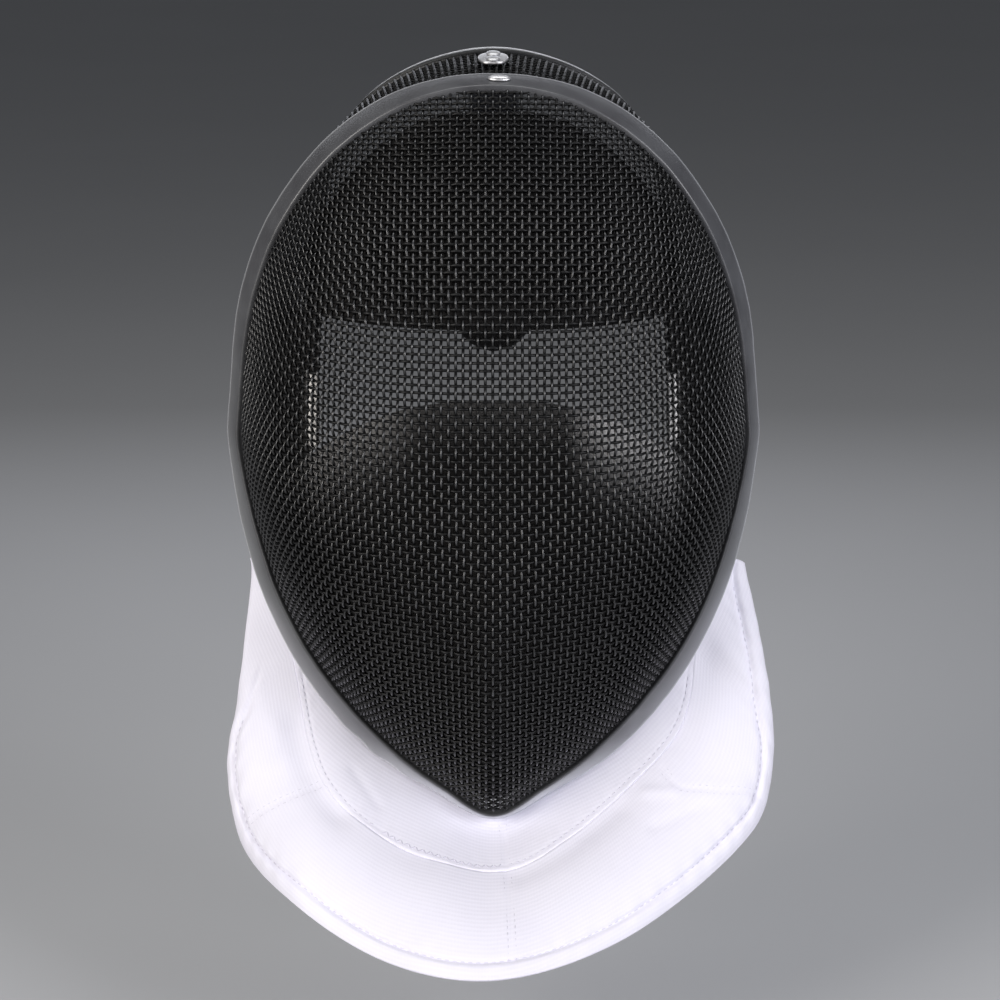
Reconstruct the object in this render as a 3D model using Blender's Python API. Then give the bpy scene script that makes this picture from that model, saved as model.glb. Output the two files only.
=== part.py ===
# Fencing mask with its bib, for Blender 4.5. Metres, +Z up, the face looks along -Y.
# The origin is where the crown of the wearer's head meets the inside of the mask.
from collections import namedtuple

import bmesh
import bpy
import numpy as np

# Driving sizes of the wire dome
MESH_WIDTH = 0.2074
MESH_HEIGHT = 0.299
NOSE_REACH = 0.075
NOSE_DROP = 0.127
RIDGE_HEIGHT = 0.0022
RIDGE_WIDTH = 0.013
MESH_WALL = 0.002
MESH_SEAT = 0.0002
CROWN_AHEAD = 0.040
CROWN_BELOW = 0.006
LIP_POWER = 14
RIDGE_RISE = 0.8

# The rubber trim round the face and the piping round the back
TRIM_WIDTH = 0.0150
TRIM_THICK = 0.0032
TRIM_SEAT = 0.0010
REAR_DEPTH = 0.050
REAR_TRIM_WIDTH = 0.0075
REAR_TRIM_THICK = 0.0045
SIDE_MESH_BULGE = 0.0020
BAND_EASE = 0.32
BAND_CROWN = 1.12

# The bib
BIB_WIDTH = 0.231
BIB_DROP = 0.353
BIB_REACH = 0.066
BIB_WALL = 0.003
BIB_FULLNESS = 0.007
HEM_THICK = 0.0046
SEAM_END = 0.72
YOKE_TIP_SHARE = 0.008
BIB_SEAT = 0.95
FORWARD_LEAN = 0.6
UPWARD_LEAN = 0.8
BELLY_PEAK = 6.75

# The lining that shows through the wires
PAD_THICK = 0.006
PAD_SETBACK = 0.0019
LINING_THICK = 0.003
LINING_SEAT = 0.0020
LINING_SETBACK = 0.0080
BROW_TOP = 0.008
BROW_DROP = 0.081
BROW_HALF_WIDTH = 0.073
BROW_INSET = 0.011
SIDE_PAD_INSET = 0.007
PAD_JOINT = 0.001
LINING_TOP = 0.111
LINING_ARCH = 0.047
ARCH_POWER = 2.6
ARCH_CLEAR = 0.003
CHIN_INSET = 0.013
LINING_INSET = 0.009
LINING_TIP = 0.004

# The tongue that grips the back of the head
TONGUE_WIDTH = 0.022
TONGUE_THICK = 0.0014
TONGUE_PAD_WIDTH = 0.046
TONGUE_PAD_THICK = 0.009
BRACKET_WIDTH = 0.0125
BRACKET_LENGTH = 0.014
BRACKET_THICK = 0.0012
BRACKET_PLACE = 0.48
BRACKET_RIVET_HEIGHT = 0.0009
BRACKET_LIFT = 0.0006
BRACKET_LOBE = -0.22
TRIM_RIVET_TURN = 0.006
TRIM_RIVET_PLACE = 0.42
RIVET_RADIUS = 0.0030
RIVET_HEIGHT = 0.0016
TRIM_RIVET_LENGTH = 0.0095
TRIM_RIVET_WIDTH = 0.0050

GAP = 0.0003

# One row for each station of the trim's front edge, from the crown to the chin.
# across: share of half MESH_WIDTH. down: share of MESH_HEIGHT. back: share of NOSE_REACH.
# tilt: degrees that the band flares outward. power, lip: how the wire dome falls to this station.
Station = namedtuple("Station", "across down back tilt power lip")
TRIM_STATIONS = [
    Station(0.000, 0.000, 0.000, 12, 2.30, 0.00),
    Station(0.294, 0.018, 0.009, 16, 2.30, 0.00),
    Station(0.463, 0.049, 0.027, 19, 2.35, 0.02),
    Station(0.621, 0.093, 0.050, 19, 2.40, 0.05),
    Station(0.777, 0.163, 0.083, 20, 2.50, 0.10),
    Station(0.872, 0.226, 0.118, 21, 2.60, 0.16),
    Station(0.940, 0.300, 0.152, 21, 2.70, 0.22),
    Station(0.985, 0.395, 0.192, 18, 2.80, 0.27),
    Station(1.000, 0.490, 0.207, 19, 2.80, 0.28),
    Station(0.932, 0.620, 0.159, 27, 2.80, 0.24),
    Station(0.805, 0.737, 0.065, 33, 2.75, 0.16),
    Station(0.644, 0.823, -0.012, 39, 2.70, 0.10),
    Station(0.450, 0.897, -0.081, 39, 2.70, 0.07),
    Station(0.186, 0.966, -0.155, 27, 2.70, 0.05),
    Station(0.000, 1.000, -0.187, 24, 2.70, 0.05),
]

# One row for each station of the rear rim, from the crown to the jaw.
# across: share of half MESH_WIDTH. down: share of MESH_HEIGHT. back: share of REAR_DEPTH.
RimStation = namedtuple("RimStation", "across down back")
REAR_STATIONS = [
    RimStation(0.000, -0.030, 1.00),
    RimStation(0.250, -0.014, 1.04),
    RimStation(0.480, 0.032, 1.18),
    RimStation(0.640, 0.106, 1.40),
    RimStation(0.740, 0.225, 1.70),
    RimStation(0.785, 0.370, 1.90),
    RimStation(0.815, 0.500, 1.88),
    RimStation(0.835, 0.590, 1.62),
    RimStation(0.900, 0.650, 1.14),
    RimStation(0.960, 0.660, 0.72),
]
JAW_TURN = 0.62
BIB_TURN = 0.638

# One row for each station of the bib's hem, from the wearer's right end to the left one.
# run: place along the hem, -1 to 1. across: share of half BIB_WIDTH. down: share of BIB_DROP.
# ahead: share of BIB_REACH, from the crown.
HemStation = namedtuple("HemStation", "run across down ahead")
HEM_STATIONS = [
    HemStation(-1.00, -0.855, 0.592, -0.46),
    HemStation(-0.90, -0.893, 0.680, -0.36),
    HemStation(-0.80, -0.925, 0.770, -0.27),
    HemStation(-0.70, -0.958, 0.822, -0.14),
    HemStation(-0.58, -0.912, 0.885, 0.16),
    HemStation(-0.40, -0.700, 0.932, 0.66),
    HemStation(-0.20, -0.370, 0.985, 0.91),
    HemStation(0.00, 0.000, 1.000, 1.00),
    HemStation(0.22, 0.440, 0.968, 0.80),
    HemStation(0.46, 0.880, 0.893, 0.23),
    HemStation(0.62, 0.990, 0.851, -0.03),
    HemStation(0.72, 1.016, 0.804, -0.18),
    HemStation(0.82, 1.000, 0.750, -0.28),
    HemStation(0.92, 0.955, 0.660, -0.42),
    HemStation(1.00, 0.905, 0.584, -0.48),
]

# One row for each station of the seam between yoke and skirt, between the yoke's two ends.
# run: place along the hem. share: how far down the bib the seam lies there.
SeamStation = namedtuple("SeamStation", "run share")
SEAM_STATIONS = [
    SeamStation(-0.720, 0.000),
    SeamStation(-0.650, 0.085),
    SeamStation(-0.575, 0.180),
    SeamStation(-0.508, 0.263),
    SeamStation(-0.440, 0.340),
    SeamStation(-0.360, 0.390),
    SeamStation(-0.270, 0.422),
    SeamStation(-0.180, 0.434),
    SeamStation(-0.090, 0.420),
    SeamStation(0.000, 0.405),
    SeamStation(0.090, 0.392),
    SeamStation(0.180, 0.343),
    SeamStation(0.270, 0.290),
    SeamStation(0.360, 0.250),
    SeamStation(0.450, 0.230),
    SeamStation(0.530, 0.206),
    SeamStation(0.620, 0.140),
    SeamStation(0.680, 0.065),
    SeamStation(0.720, 0.000),
]

# One row for each bend of the tongue behind the rear rim, down to its tip.
# back: share of REAR_DEPTH from the crown. down: share of MESH_HEIGHT.
TongueStation = namedtuple("TongueStation", "back down")
TONGUE_STATIONS = [
    TongueStation(1.50, -0.004),
    TongueStation(1.95, 0.040),
    TongueStation(2.40, 0.120),
    TongueStation(2.55, 0.230),
    TongueStation(2.50, 0.370),
    TongueStation(2.42, 0.440),
]

# Colours are sRGB of the photograph's parts, as linear values
BLACK_WIRE = (0.020, 0.020, 0.022)
GREY_RUBBER = (0.130, 0.135, 0.145)
SILVER_PIPING = (0.420, 0.430, 0.450)
WHITE_CLOTH = (0.720, 0.710, 0.740)
DARK_CLOTH = (0.045, 0.042, 0.042)
STEEL = (0.500, 0.500, 0.520)


def clear_scene():
    for item in list(bpy.data.objects):
        bpy.data.objects.remove(item, do_unlink=True)


def material(name, colour, roughness, metallic=0.0):
    """One Principled material."""
    finish = bpy.data.materials.new(name)
    finish.use_nodes = True
    shader = finish.node_tree.nodes["Principled BSDF"]
    shader.inputs["Base Color"].default_value = (*colour, 1.0)
    shader.inputs["Roughness"].default_value = roughness
    shader.inputs["Metallic"].default_value = metallic
    finish.diffuse_color = (*colour, 1.0)
    return finish


def unit(vectors):
    return vectors / np.linalg.norm(vectors, axis=-1, keepdims=True)


def smooth(knots, values, at):
    """Reads a table between its rows with cubic curves through every row."""
    knots = np.asarray(knots, float)
    values = np.asarray(values, float)
    slopes = np.gradient(values, knots, axis=0)
    row = np.clip(np.searchsorted(knots, at, side="right") - 1, 0, len(knots) - 2)
    span = knots[row + 1] - knots[row]
    t = ((at - knots[row]) / span)[..., None]
    span = span[..., None]
    start = (1 + 2 * t) * (1 - t) ** 2 * values[row] + t * (1 - t) ** 2 * span * slopes[row]
    end = t * t * (3 - 2 * t) * values[row + 1] + t * t * (t - 1) * span * slopes[row + 1]
    return start + end


def chord_knots(points):
    steps = np.linalg.norm(np.diff(points, axis=0), axis=1)
    knots = np.concatenate([[0.0], np.cumsum(steps)])
    return knots / knots[-1]


def from_crown(across, back, down):
    """A place measured from the crown end of the wire dome, in the frame of the origin."""
    return np.stack([across, back - CROWN_AHEAD, -down - CROWN_BELOW], axis=-1)


def mirrored_table(points, extras):
    """Doubles a half table so that its two ends stay level where the halves meet."""
    flip = np.array([-1.0, 1.0, 1.0])
    knots = chord_knots(points)
    before = slice(3, 0, -1)
    after = slice(-2, -5, -1)
    all_knots = np.concatenate([-knots[before], knots, 2.0 - knots[after]])
    all_points = np.concatenate([points[before] * flip, points, points[after] * flip])
    all_extras = np.concatenate([extras[before], extras, extras[after]])
    return all_knots, np.hstack([all_points, all_extras])


def trim_table():
    rows = np.array(TRIM_STATIONS)
    points = from_crown(
        rows[:, 0] * MESH_WIDTH / 2, rows[:, 2] * NOSE_REACH, rows[:, 1] * MESH_HEIGHT
    )
    return mirrored_table(points, rows[:, 3:])


TRIM_KNOTS, TRIM_ROWS = trim_table()


def trim_at(turn):
    """The trim's front edge: turn is 0 at the crown, 1 at the chin, below 0 on the -X side."""
    turn = np.asarray(turn, float)
    rows = smooth(TRIM_KNOTS, TRIM_ROWS, np.abs(turn))
    side = np.where(turn < 0, -1.0, 1.0)
    points = rows[..., :3].copy()
    points[..., 0] *= side
    return points, rows[..., 3:]


def trim_frame(turn):
    """The edge, the way along it, the way across the band to its rear, and the way out of it."""
    turn = np.asarray(turn, float)
    step = 1e-4
    edge, extras = trim_at(turn)
    side = np.where(turn < 0, -1.0, 1.0)
    ahead = trim_at(side * np.minimum(np.abs(turn) + step, 1.0))[0]
    behind = trim_at(side * np.maximum(np.abs(turn) - step, 0.0))[0]
    along = unit((ahead - behind) * side[..., None])
    outward = unit(np.stack([-along[..., 2], 0 * turn, along[..., 0]], axis=-1))
    tilt = np.radians(extras[..., 0])[..., None]
    rear = np.array([0.0, 1.0, 0.0])
    across = unit(outward * np.sin(tilt) + rear * np.cos(tilt))
    out = unit(outward * np.cos(tilt) - rear * np.sin(tilt))
    return edge, along, across, out


def dome_at(turn, share):
    """The wire dome: share runs from 0 at the nose to 1 at the trim."""
    edge, extras = trim_at(turn)
    nose = from_crown(0.0, -NOSE_REACH, NOSE_DROP)
    power = extras[..., 1]
    lip = extras[..., 2]
    fall = (1 - lip) * share**power + lip * share**LIP_POWER
    place = nose + (edge - nose) * share[..., None]
    place[..., 1] = nose[1] + (edge[..., 1] - nose[1]) * fall
    below = np.clip((nose[2] - place[..., 2]) / (MESH_HEIGHT - NOSE_DROP), 0, 1)
    crease = np.exp(-((place[..., 0] / RIDGE_WIDTH) ** 2)) * np.sin(np.pi * below**RIDGE_RISE)
    place[..., 1] -= RIDGE_HEIGHT * crease
    return place


def grid_normals(grid, wrap):
    """The way out of a grid of points, from the differences of its neighbours."""
    rows = np.gradient(grid, axis=0)
    if wrap:
        columns = (np.roll(grid, -1, axis=1) - np.roll(grid, 1, axis=1)) / 2
    else:
        columns = np.gradient(grid, axis=1)
    return unit(np.cross(rows, columns))


def add_object(name, points, faces, finish):
    """A closed mesh that faces out, from points and faces."""
    mesh = bpy.data.meshes.new(name)
    mesh.from_pydata([tuple(p) for p in points], [], faces)
    shape = bmesh.new()
    shape.from_mesh(mesh)
    bmesh.ops.remove_doubles(shape, verts=shape.verts, dist=1e-6)
    bmesh.ops.recalc_face_normals(shape, faces=shape.faces)
    bmesh.ops.triangulate(shape, faces=shape.faces)
    shape.to_mesh(mesh)
    shape.free()
    item = bpy.data.objects.new(name, mesh)
    item.data.materials.append(finish)
    bpy.context.scene.collection.objects.link(item)
    return item


def wall(name, outer, inner, finish, wrap=False):
    """A wall between two grids of rows and columns. A wrapped one closes round, with a capped nose."""
    rows, columns = outer.shape[:2]
    points = np.concatenate([outer.reshape(-1, 3), inner.reshape(-1, 3)])
    half = rows * columns

    def place(layer, row, column):
        return layer * half + row * columns + column % columns

    faces = []
    for row in range(rows - 1):
        for column in range(columns if wrap else columns - 1):
            quad = [(row, column), (row + 1, column), (row + 1, column + 1), (row, column + 1)]
            faces.append([place(0, *corner) for corner in quad])
            faces.append([place(1, *corner) for corner in reversed(quad)])
    if wrap:
        faces.append([place(0, 0, column) for column in range(columns)])
        faces.append([place(1, 0, column) for column in reversed(range(columns))])
        border = [(rows - 1, column) for column in range(columns)]
    else:
        border = [(0, column) for column in range(columns)]
        border += [(row, columns - 1) for row in range(1, rows)]
        border += [(rows - 1, column) for column in range(columns - 2, -1, -1)]
        border += [(row, 0) for row in range(rows - 2, 0, -1)]
    for here, there in zip(border, border[1:] + border[:1]):
        faces.append([place(0, *here), place(0, *there), place(1, *there), place(1, *here)])
    return add_object(name, points, faces, finish)


def sweep(name, centres, across, out, section, finish, closed):
    """Carries a section, given as lengths across and out, along a row of centres."""
    rings = [
        centres + across * step_across + out * step_out for step_across, step_out in section
    ]
    grid = np.stack(rings, axis=1)
    count, sides = grid.shape[:2]
    faces = []
    for ring in range(count if closed else count - 1):
        for side in range(sides):
            here = ring * sides
            there = (ring + 1) % count * sides
            beside = (side + 1) % sides
            faces.append([here + side, here + beside, there + beside, there + side])
    if not closed:
        faces.append(list(range(sides)))
        faces.append([(count - 1) * sides + side for side in reversed(range(sides))])
    return add_object(name, grid.reshape(-1, 3), faces, finish)


def rounded_section(start, width, thick, seat):
    """A band with eased edges, from start to start + width across, its middle moved out by seat."""
    ease = thick * BAND_EASE
    half = thick / 2
    corners = [
        (start, -half + ease),
        (start + ease, -half),
        (start + width - ease, -half),
        (start + width, -half + ease),
        (start + width, half - ease),
        (start + width - ease, half),
        (start + width / 2, half * BAND_CROWN),
        (start + ease, half),
        (start, half - ease),
    ]
    return [(step_across, step_out + seat) for step_across, step_out in corners]


def front_mesh(finish):
    turns = np.linspace(-1, 1, 61)[:-1]
    shares = np.array([0.06, 0.17, 0.29, 0.41, 0.52, 0.62, 0.71, 0.79, 0.86, 0.92, 0.965, 0.9985])
    grid = dome_at(turns[None, :] + 0 * shares[:, None], shares[:, None] + 0 * turns[None, :])
    normals = grid_normals(grid, wrap=True)
    middle = len(turns) // 2
    normals *= np.sign(-normals[0, middle, 1])
    outer = grid + normals * MESH_WALL / 2
    inner = grid - normals * MESH_WALL / 2
    return wall("front_mesh", outer, inner, finish, wrap=True)


def front_trim(finish):
    turns = np.linspace(-1, 1, 73)[:-1]
    edge, along, across, out = trim_frame(turns)
    section = rounded_section(GAP, TRIM_WIDTH, TRIM_THICK, TRIM_SEAT)
    return sweep("front_trim", edge, across, out, section, finish, closed=True)


def rear_rim_at(turn):
    """The rear edge of the side mesh: turn is 0 at the crown and 1 at the jaw."""
    rows = np.array(REAR_STATIONS)
    points = from_crown(
        rows[:, 0] * MESH_WIDTH / 2, rows[:, 2] * REAR_DEPTH, rows[:, 1] * MESH_HEIGHT
    )
    knots = chord_knots(points)
    flip = np.array([-1.0, 1.0, 1.0])
    all_knots = np.concatenate([-knots[3:0:-1], knots])
    all_points = np.concatenate([points[3:0:-1] * flip, points])
    side = np.where(turn < 0, -1.0, 1.0)
    places = smooth(all_knots, all_points, np.abs(turn))
    places[..., 0] *= side
    return places


def side_mesh_grid(turns, shares):
    """The wire band from the trim's rear edge to the rear rim, over the top from jaw to jaw."""
    edge, along, across, out = trim_frame(turns * JAW_TURN)
    start = edge + across * (TRIM_WIDTH + 2 * GAP + MESH_SEAT)
    end = rear_rim_at(turns)
    middle = np.array([0.0, 0.0, from_crown(0.0, 0.0, MESH_HEIGHT * 0.45)[2]])
    reach = end - start
    spread = start + end - 2 * middle
    spread[..., 1] = 0
    length = np.linalg.norm(reach, axis=-1, keepdims=True)
    bulge = unit(spread) * SIDE_MESH_BULGE * length / REAR_DEPTH
    rise = 4 * shares * (1 - shares)
    return start[None] + reach[None] * shares[:, None, None] + bulge[None] * rise[:, None, None]


def side_mesh(finish):
    turns = np.linspace(-1, 1, 49)
    shares = np.linspace(0, 1, 6)
    grid = side_mesh_grid(turns, shares)
    normals = grid_normals(grid, wrap=False)
    normals *= np.sign(normals[0, len(turns) // 2, 2])
    outer = grid + normals * MESH_WALL / 2
    inner = grid - normals * MESH_WALL / 2
    return wall("side_mesh", outer, inner, finish)


def rear_trim(finish):
    turns = np.linspace(-1, 1, 61)
    grid = side_mesh_grid(turns, np.array([0.9, 1.0]))
    along = unit(np.gradient(grid[1], axis=0))
    across = unit(grid[1] - grid[0])
    out = unit(np.cross(along, across))
    out *= np.sign(out[len(turns) // 2, 2])
    across = unit(across - along * np.sum(across * along, axis=-1, keepdims=True))
    section = rounded_section(GAP, REAR_TRIM_WIDTH, REAR_TRIM_THICK, 0.0)
    return sweep("rear_trim", grid[1], across, out, section, finish, closed=False)


def hem_at(run):
    rows = np.array(HEM_STATIONS)
    across = rows[:, 1] * BIB_WIDTH / 2
    points = from_crown(across, -rows[:, 3] * BIB_REACH, rows[:, 2] * BIB_DROP)
    return smooth(rows[:, 0], points, run)


def bib_at(run, share):
    """The bib: run goes from end to end of the hem, share from the trim down to the hem."""
    turn = np.where(run < 0, -1.0, 1.0) * (1 - np.abs(run) * (1 - BIB_TURN))
    edge, along, across, out = trim_frame(turn)
    top = edge + across * (TRIM_WIDTH + 2 * GAP + BIB_WALL * BIB_SEAT)
    reach = hem_at(run) - top
    swell = BIB_FULLNESS * np.minimum(1.0, np.linalg.norm(reach, axis=-1) / BIB_REACH)
    lean = run * np.pi / 2
    face = np.stack([np.sin(lean), -FORWARD_LEAN * np.cos(lean), UPWARD_LEAN * np.cos(lean)], axis=-1)
    rise = swell * BELLY_PEAK * share**2 * (1 - share)
    return top + reach * share[..., None] + face * rise[..., None]


def seam_share(run):
    """How far down the bib its seam lies: nothing past the ends of the yoke."""
    rows = np.array(SEAM_STATIONS)
    share = smooth(rows[:, 0], rows[:, 1:], np.clip(run, -SEAM_END, SEAM_END))[..., 0]
    return np.where(np.abs(run) < SEAM_END, share, 0.0)


def bib_wall(name, run, low, high, steps, thick, finish):
    """A stretch of the bib between two shares, with its thickness at each step down."""
    steps = np.array(steps)[:, None]
    half = np.array(thick)[:, None, None] / 2
    shares = low[None] + (high - low)[None] * steps
    runs = run[None] + 0 * steps
    grid = bib_at(runs, shares)
    normals = grid_normals(grid, wrap=False)
    normals *= np.sign(-normals[len(steps) // 2, len(run) // 2, 1])
    return wall(name, grid + normals * half, grid - normals * half, finish)


def bib_columns():
    """Places along the hem that the yoke and the skirt share, with the yoke's two ends."""
    ends = np.array([-SEAM_END, SEAM_END])
    return np.unique(np.concatenate([np.linspace(-1, 1, 49), ends]))


def bib_yoke(finish):
    run = bib_columns()
    run = run[np.abs(run) <= SEAM_END]
    steps = np.linspace(0, 1, 6)
    low_end = np.maximum(seam_share(run), YOKE_TIP_SHARE)
    return bib_wall("bib_yoke", run, 0 * run, low_end, steps, 0 * steps + BIB_WALL, finish)


def bib_skirt(finish):
    run = bib_columns()
    length = np.linalg.norm(bib_at(run, 0 * run + 1) - bib_at(run, 0 * run), axis=-1)
    below = np.where(np.abs(run) <= SEAM_END, YOKE_TIP_SHARE + 3 * GAP / length, 0.0)
    steps = [0, 0.2, 0.4, 0.6, 0.8, 0.93, 0.97, 1]
    thick = [BIB_WALL] * 5 + [BIB_WALL * 0.8, HEM_THICK, HEM_THICK * 0.7]
    return bib_wall("bib_skirt", run, seam_share(run) + below, 0 * run + 1, steps, thick, finish)


def lining_grid(across, down, setback):
    """A sheet behind the wire dome, at the places across and down, set back from the wires."""
    turns = np.linspace(-1, 1, 241)
    nose = from_crown(0.0, -NOSE_REACH, NOSE_DROP)
    edge = trim_at(turns)[0] - nose
    heading = np.arctan2(edge[:, 0], edge[:, 2])
    heading[[0, -1]] = [-np.pi, np.pi]
    x = across
    z = -down - CROWN_BELOW - nose[2]
    turn = np.interp(np.arctan2(x, z), heading, turns)
    reach = np.linalg.norm(trim_at(turn)[0][..., [0, 2]] - nose[[0, 2]], axis=-1)
    share = np.minimum(np.hypot(x, z) / reach, 0.97)
    front = dome_at(turn, share)
    step = 0.01
    slope = dome_at(turn, share + step) - dome_at(turn, share - step)
    round_step = dome_at(turn + step, share) - dome_at(turn - step, share)
    normal = unit(np.cross(slope, round_step))
    normal *= np.where(normal[..., 1:2] < 0, -1.0, 1.0)
    return front + normal * setback, normal


def lining_panel(name, across, down, setback, thick, finish):
    grid, normal = lining_grid(across, down, setback)
    return wall(name, grid, grid + normal * thick, finish)


def half_width_at(down):
    """Half the dome's width at a depth below the crown."""
    turns = np.linspace(0, 1, 200)
    edge = trim_at(turns)[0]
    return np.interp(-down - CROWN_BELOW, edge[::-1, 2], edge[::-1, 0])


def forehead_pad(finish):
    downs = np.linspace(BROW_TOP, BROW_DROP, 7)
    widths = np.minimum(half_width_at(downs) - BROW_INSET, BROW_HALF_WIDTH)
    sides = np.linspace(-1, 1, 21)
    across = widths[:, None] * sides[None]
    down = downs[:, None] + 0 * sides[None]
    return lining_panel("forehead_pad", across, down, PAD_SETBACK, PAD_THICK, finish)


def arch_at(across):
    """How far below the crown the chin lining's top edge runs, at a distance from the middle."""
    widest = half_width_at(np.array([LINING_TOP + LINING_ARCH]))[0] - LINING_INSET
    return LINING_TOP + LINING_ARCH * (np.abs(across) / widest) ** ARCH_POWER


def side_pad(name, side, finish):
    top = BROW_DROP + PAD_JOINT
    inner = BROW_HALF_WIDTH - PAD_JOINT / 2
    steps = np.linspace(0, 1, 6)[None]
    levels = np.linspace(0, 1, 8)[:, None]
    outer = half_width_at(top + (LINING_TOP + LINING_ARCH - top) * levels) - SIDE_PAD_INSET
    across = inner + (outer - inner) * steps
    bottom = arch_at(across) - ARCH_CLEAR
    down = top + (bottom - top) * levels
    return lining_panel(name, side * across, down, PAD_SETBACK, PAD_THICK, finish)


def chin_lining(finish):
    sides = np.linspace(-1, 1, 27)
    steps = np.linspace(0, 1, 8)
    bottom = MESH_HEIGHT - CHIN_INSET
    top = LINING_TOP + LINING_ARCH
    widest = half_width_at(np.array([top]))[0] - LINING_INSET
    arch = arch_at(widest * sides)
    down = arch[None] + (bottom - arch[None]) * steps[:, None]
    level = top + (bottom - top) * steps
    across = (half_width_at(level) - LINING_INSET)[:, None] * sides[None]
    limit = np.maximum(half_width_at(down) - LINING_INSET, LINING_TIP)
    across = np.clip(across, -limit, limit)
    inside = (1 - np.abs(sides) ** 4)[None] * (1 - steps**4)[:, None]
    setback = LINING_SEAT + (LINING_SETBACK - LINING_SEAT) * inside[..., None]
    return lining_panel("chin_lining", across, down, setback, LINING_THICK, finish)


def tongue_path(count):
    """The tongue's line: along the inside of the side mesh, under the rear rim, then down."""
    rows = np.array(TONGUE_STATIONS)
    behind = from_crown(0 * rows[:, 0], rows[:, 0] * REAR_DEPTH, rows[:, 1] * MESH_HEIGHT)
    turns = np.linspace(0, 0.3, 31)
    over = side_mesh_grid(turns, np.array([0.30, 0.62, 1.12]))
    root = over[:, 0].copy()
    for line, spot in zip(over, root):
        spot[2] = np.interp(TONGUE_WIDTH / 2, line[:, 0], line[:, 2])
    root[:, 2] -= MESH_WALL / 2 + TONGUE_THICK + 2 * GAP
    root[2, 2] -= REAR_TRIM_THICK / 2 * BAND_CROWN - MESH_WALL / 2 + 2 * GAP
    points = np.concatenate([root, behind])
    knots = chord_knots(points)
    places = smooth(knots, points, np.linspace(0, 1, count))
    along = unit(np.gradient(places, axis=0))
    across = np.tile(np.array([1.0, 0.0, 0.0]), (count, 1))
    out = unit(np.cross(across, along))
    return places, across, out


def tongue_spring(finish):
    places, across, out = tongue_path(25)
    places = places[:-2]
    half = TONGUE_WIDTH / 2
    section = [(-half, 0), (half, 0), (half, TONGUE_THICK), (-half, TONGUE_THICK)]
    return sweep("tongue_spring", places, across[:-2], out[:-2], section, finish, closed=False)


def tongue_pad(finish):
    """A cushion with rounded ends on the inner side of the tongue's lower part."""
    places, across, out = tongue_path(25)
    first = 13
    places = places[first:]
    share = np.linspace(-1, 1, len(places))
    full = np.sqrt(np.maximum(1 - np.abs(share) ** 3.2, 0.05))
    half = TONGUE_PAD_WIDTH / 2
    thick = TONGUE_PAD_THICK
    section = [(-0.8, -0.1), (-1, -0.5), (-0.7, -0.92), (0, -1), (0.7, -0.92), (1, -0.5), (0.8, -0.1)]
    rings = []
    for side, rise in section:
        step_out = rise * thick * (0.45 + 0.55 * full) - GAP
        rings.append(
            places + across[first:] * (side * half * full)[:, None] + out[first:] * step_out[:, None]
        )
    grid = np.stack(rings, axis=1)
    count, sides = grid.shape[:2]
    faces = []
    for ring in range(count - 1):
        for side in range(sides):
            beside = (side + 1) % sides
            here = ring * sides
            faces.append([here + side, here + beside, here + sides + beside, here + sides + side])
    faces.append(list(range(sides)))
    faces.append([(count - 1) * sides + side for side in reversed(range(sides))])
    return add_object("tongue_pad", grid.reshape(-1, 3), faces, finish)


def top_of_side_mesh(back):
    """Height and slope of the side mesh's outer face on the centre line."""
    shares = np.linspace(0, 1, 41)
    line = side_mesh_grid(np.array([0.0]), shares)[:, 0]
    height = np.interp(back, line[:, 1], line[:, 2]) + MESH_WALL / 2
    slope = np.interp(back, line[:, 1], np.gradient(line[:, 2], line[:, 1]))
    return height, slope


def bracket_place():
    line = side_mesh_grid(np.array([0.0]), np.array([BRACKET_PLACE]))[0, 0]
    height, slope = top_of_side_mesh(line[1])
    along = unit(np.array([0.0, 1.0, slope]))
    up = unit(np.array([0.0, -slope, 1.0]))
    return np.array([0.0, line[1], height]) + up * BRACKET_LIFT, along, up


def tongue_bracket(finish):
    """A flat plate with a lobe on each side, on top of the side mesh."""
    centre, along, up = bracket_place()
    right = np.array([1.0, 0.0, 0.0])
    angles = np.linspace(0, 2 * np.pi, 33)[:-1]
    lobe = 1 + BRACKET_LOBE * np.cos(2 * angles)
    outline = [
        centre
        + right * BRACKET_WIDTH / 2 * swell / (1 - BRACKET_LOBE) * np.sin(angle)
        + along * BRACKET_LENGTH / 2 * swell / (1 + BRACKET_LOBE) * np.cos(angle)
        for angle, swell in zip(angles, lobe)
    ]
    low = np.array(outline)
    high = low + up * BRACKET_THICK
    count = len(angles)
    faces = [list(range(count)), list(reversed(range(count, 2 * count)))]
    for side in range(count):
        beside = (side + 1) % count
        faces.append([side, beside, count + beside, count + side])
    return add_object("tongue_bracket", np.concatenate([low, high]), faces, finish)


def dome_head(name, centre, right, along, up, half_right, half_along, height, finish):
    """A low domed rivet head on an ellipse."""
    angles = np.linspace(0, 2 * np.pi, 17)[:-1]
    rings = []
    for size, rise in [(0.94, 0.0), (1.0, 0.25), (0.82, 0.72), (0.45, 0.95)]:
        ring = (
            centre
            + right * (half_right * size) * np.cos(angles)[:, None]
            + along * (half_along * size) * np.sin(angles)[:, None]
            + up * height * rise
        )
        rings.append(ring)
    grid = np.stack(rings)
    count = len(angles)
    points = np.concatenate([grid.reshape(-1, 3), (centre + up * height)[None]])
    faces = [list(reversed(range(count)))]
    for ring in range(len(rings) - 1):
        for side in range(count):
            beside = (side + 1) % count
            low = ring * count
            faces.append([low + side, low + beside, low + count + beside, low + count + side])
    top = len(points) - 1
    last = (len(rings) - 1) * count
    for side in range(count):
        faces.append([last + side, last + (side + 1) % count, top])
    return add_object(name, points, faces, finish)


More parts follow.
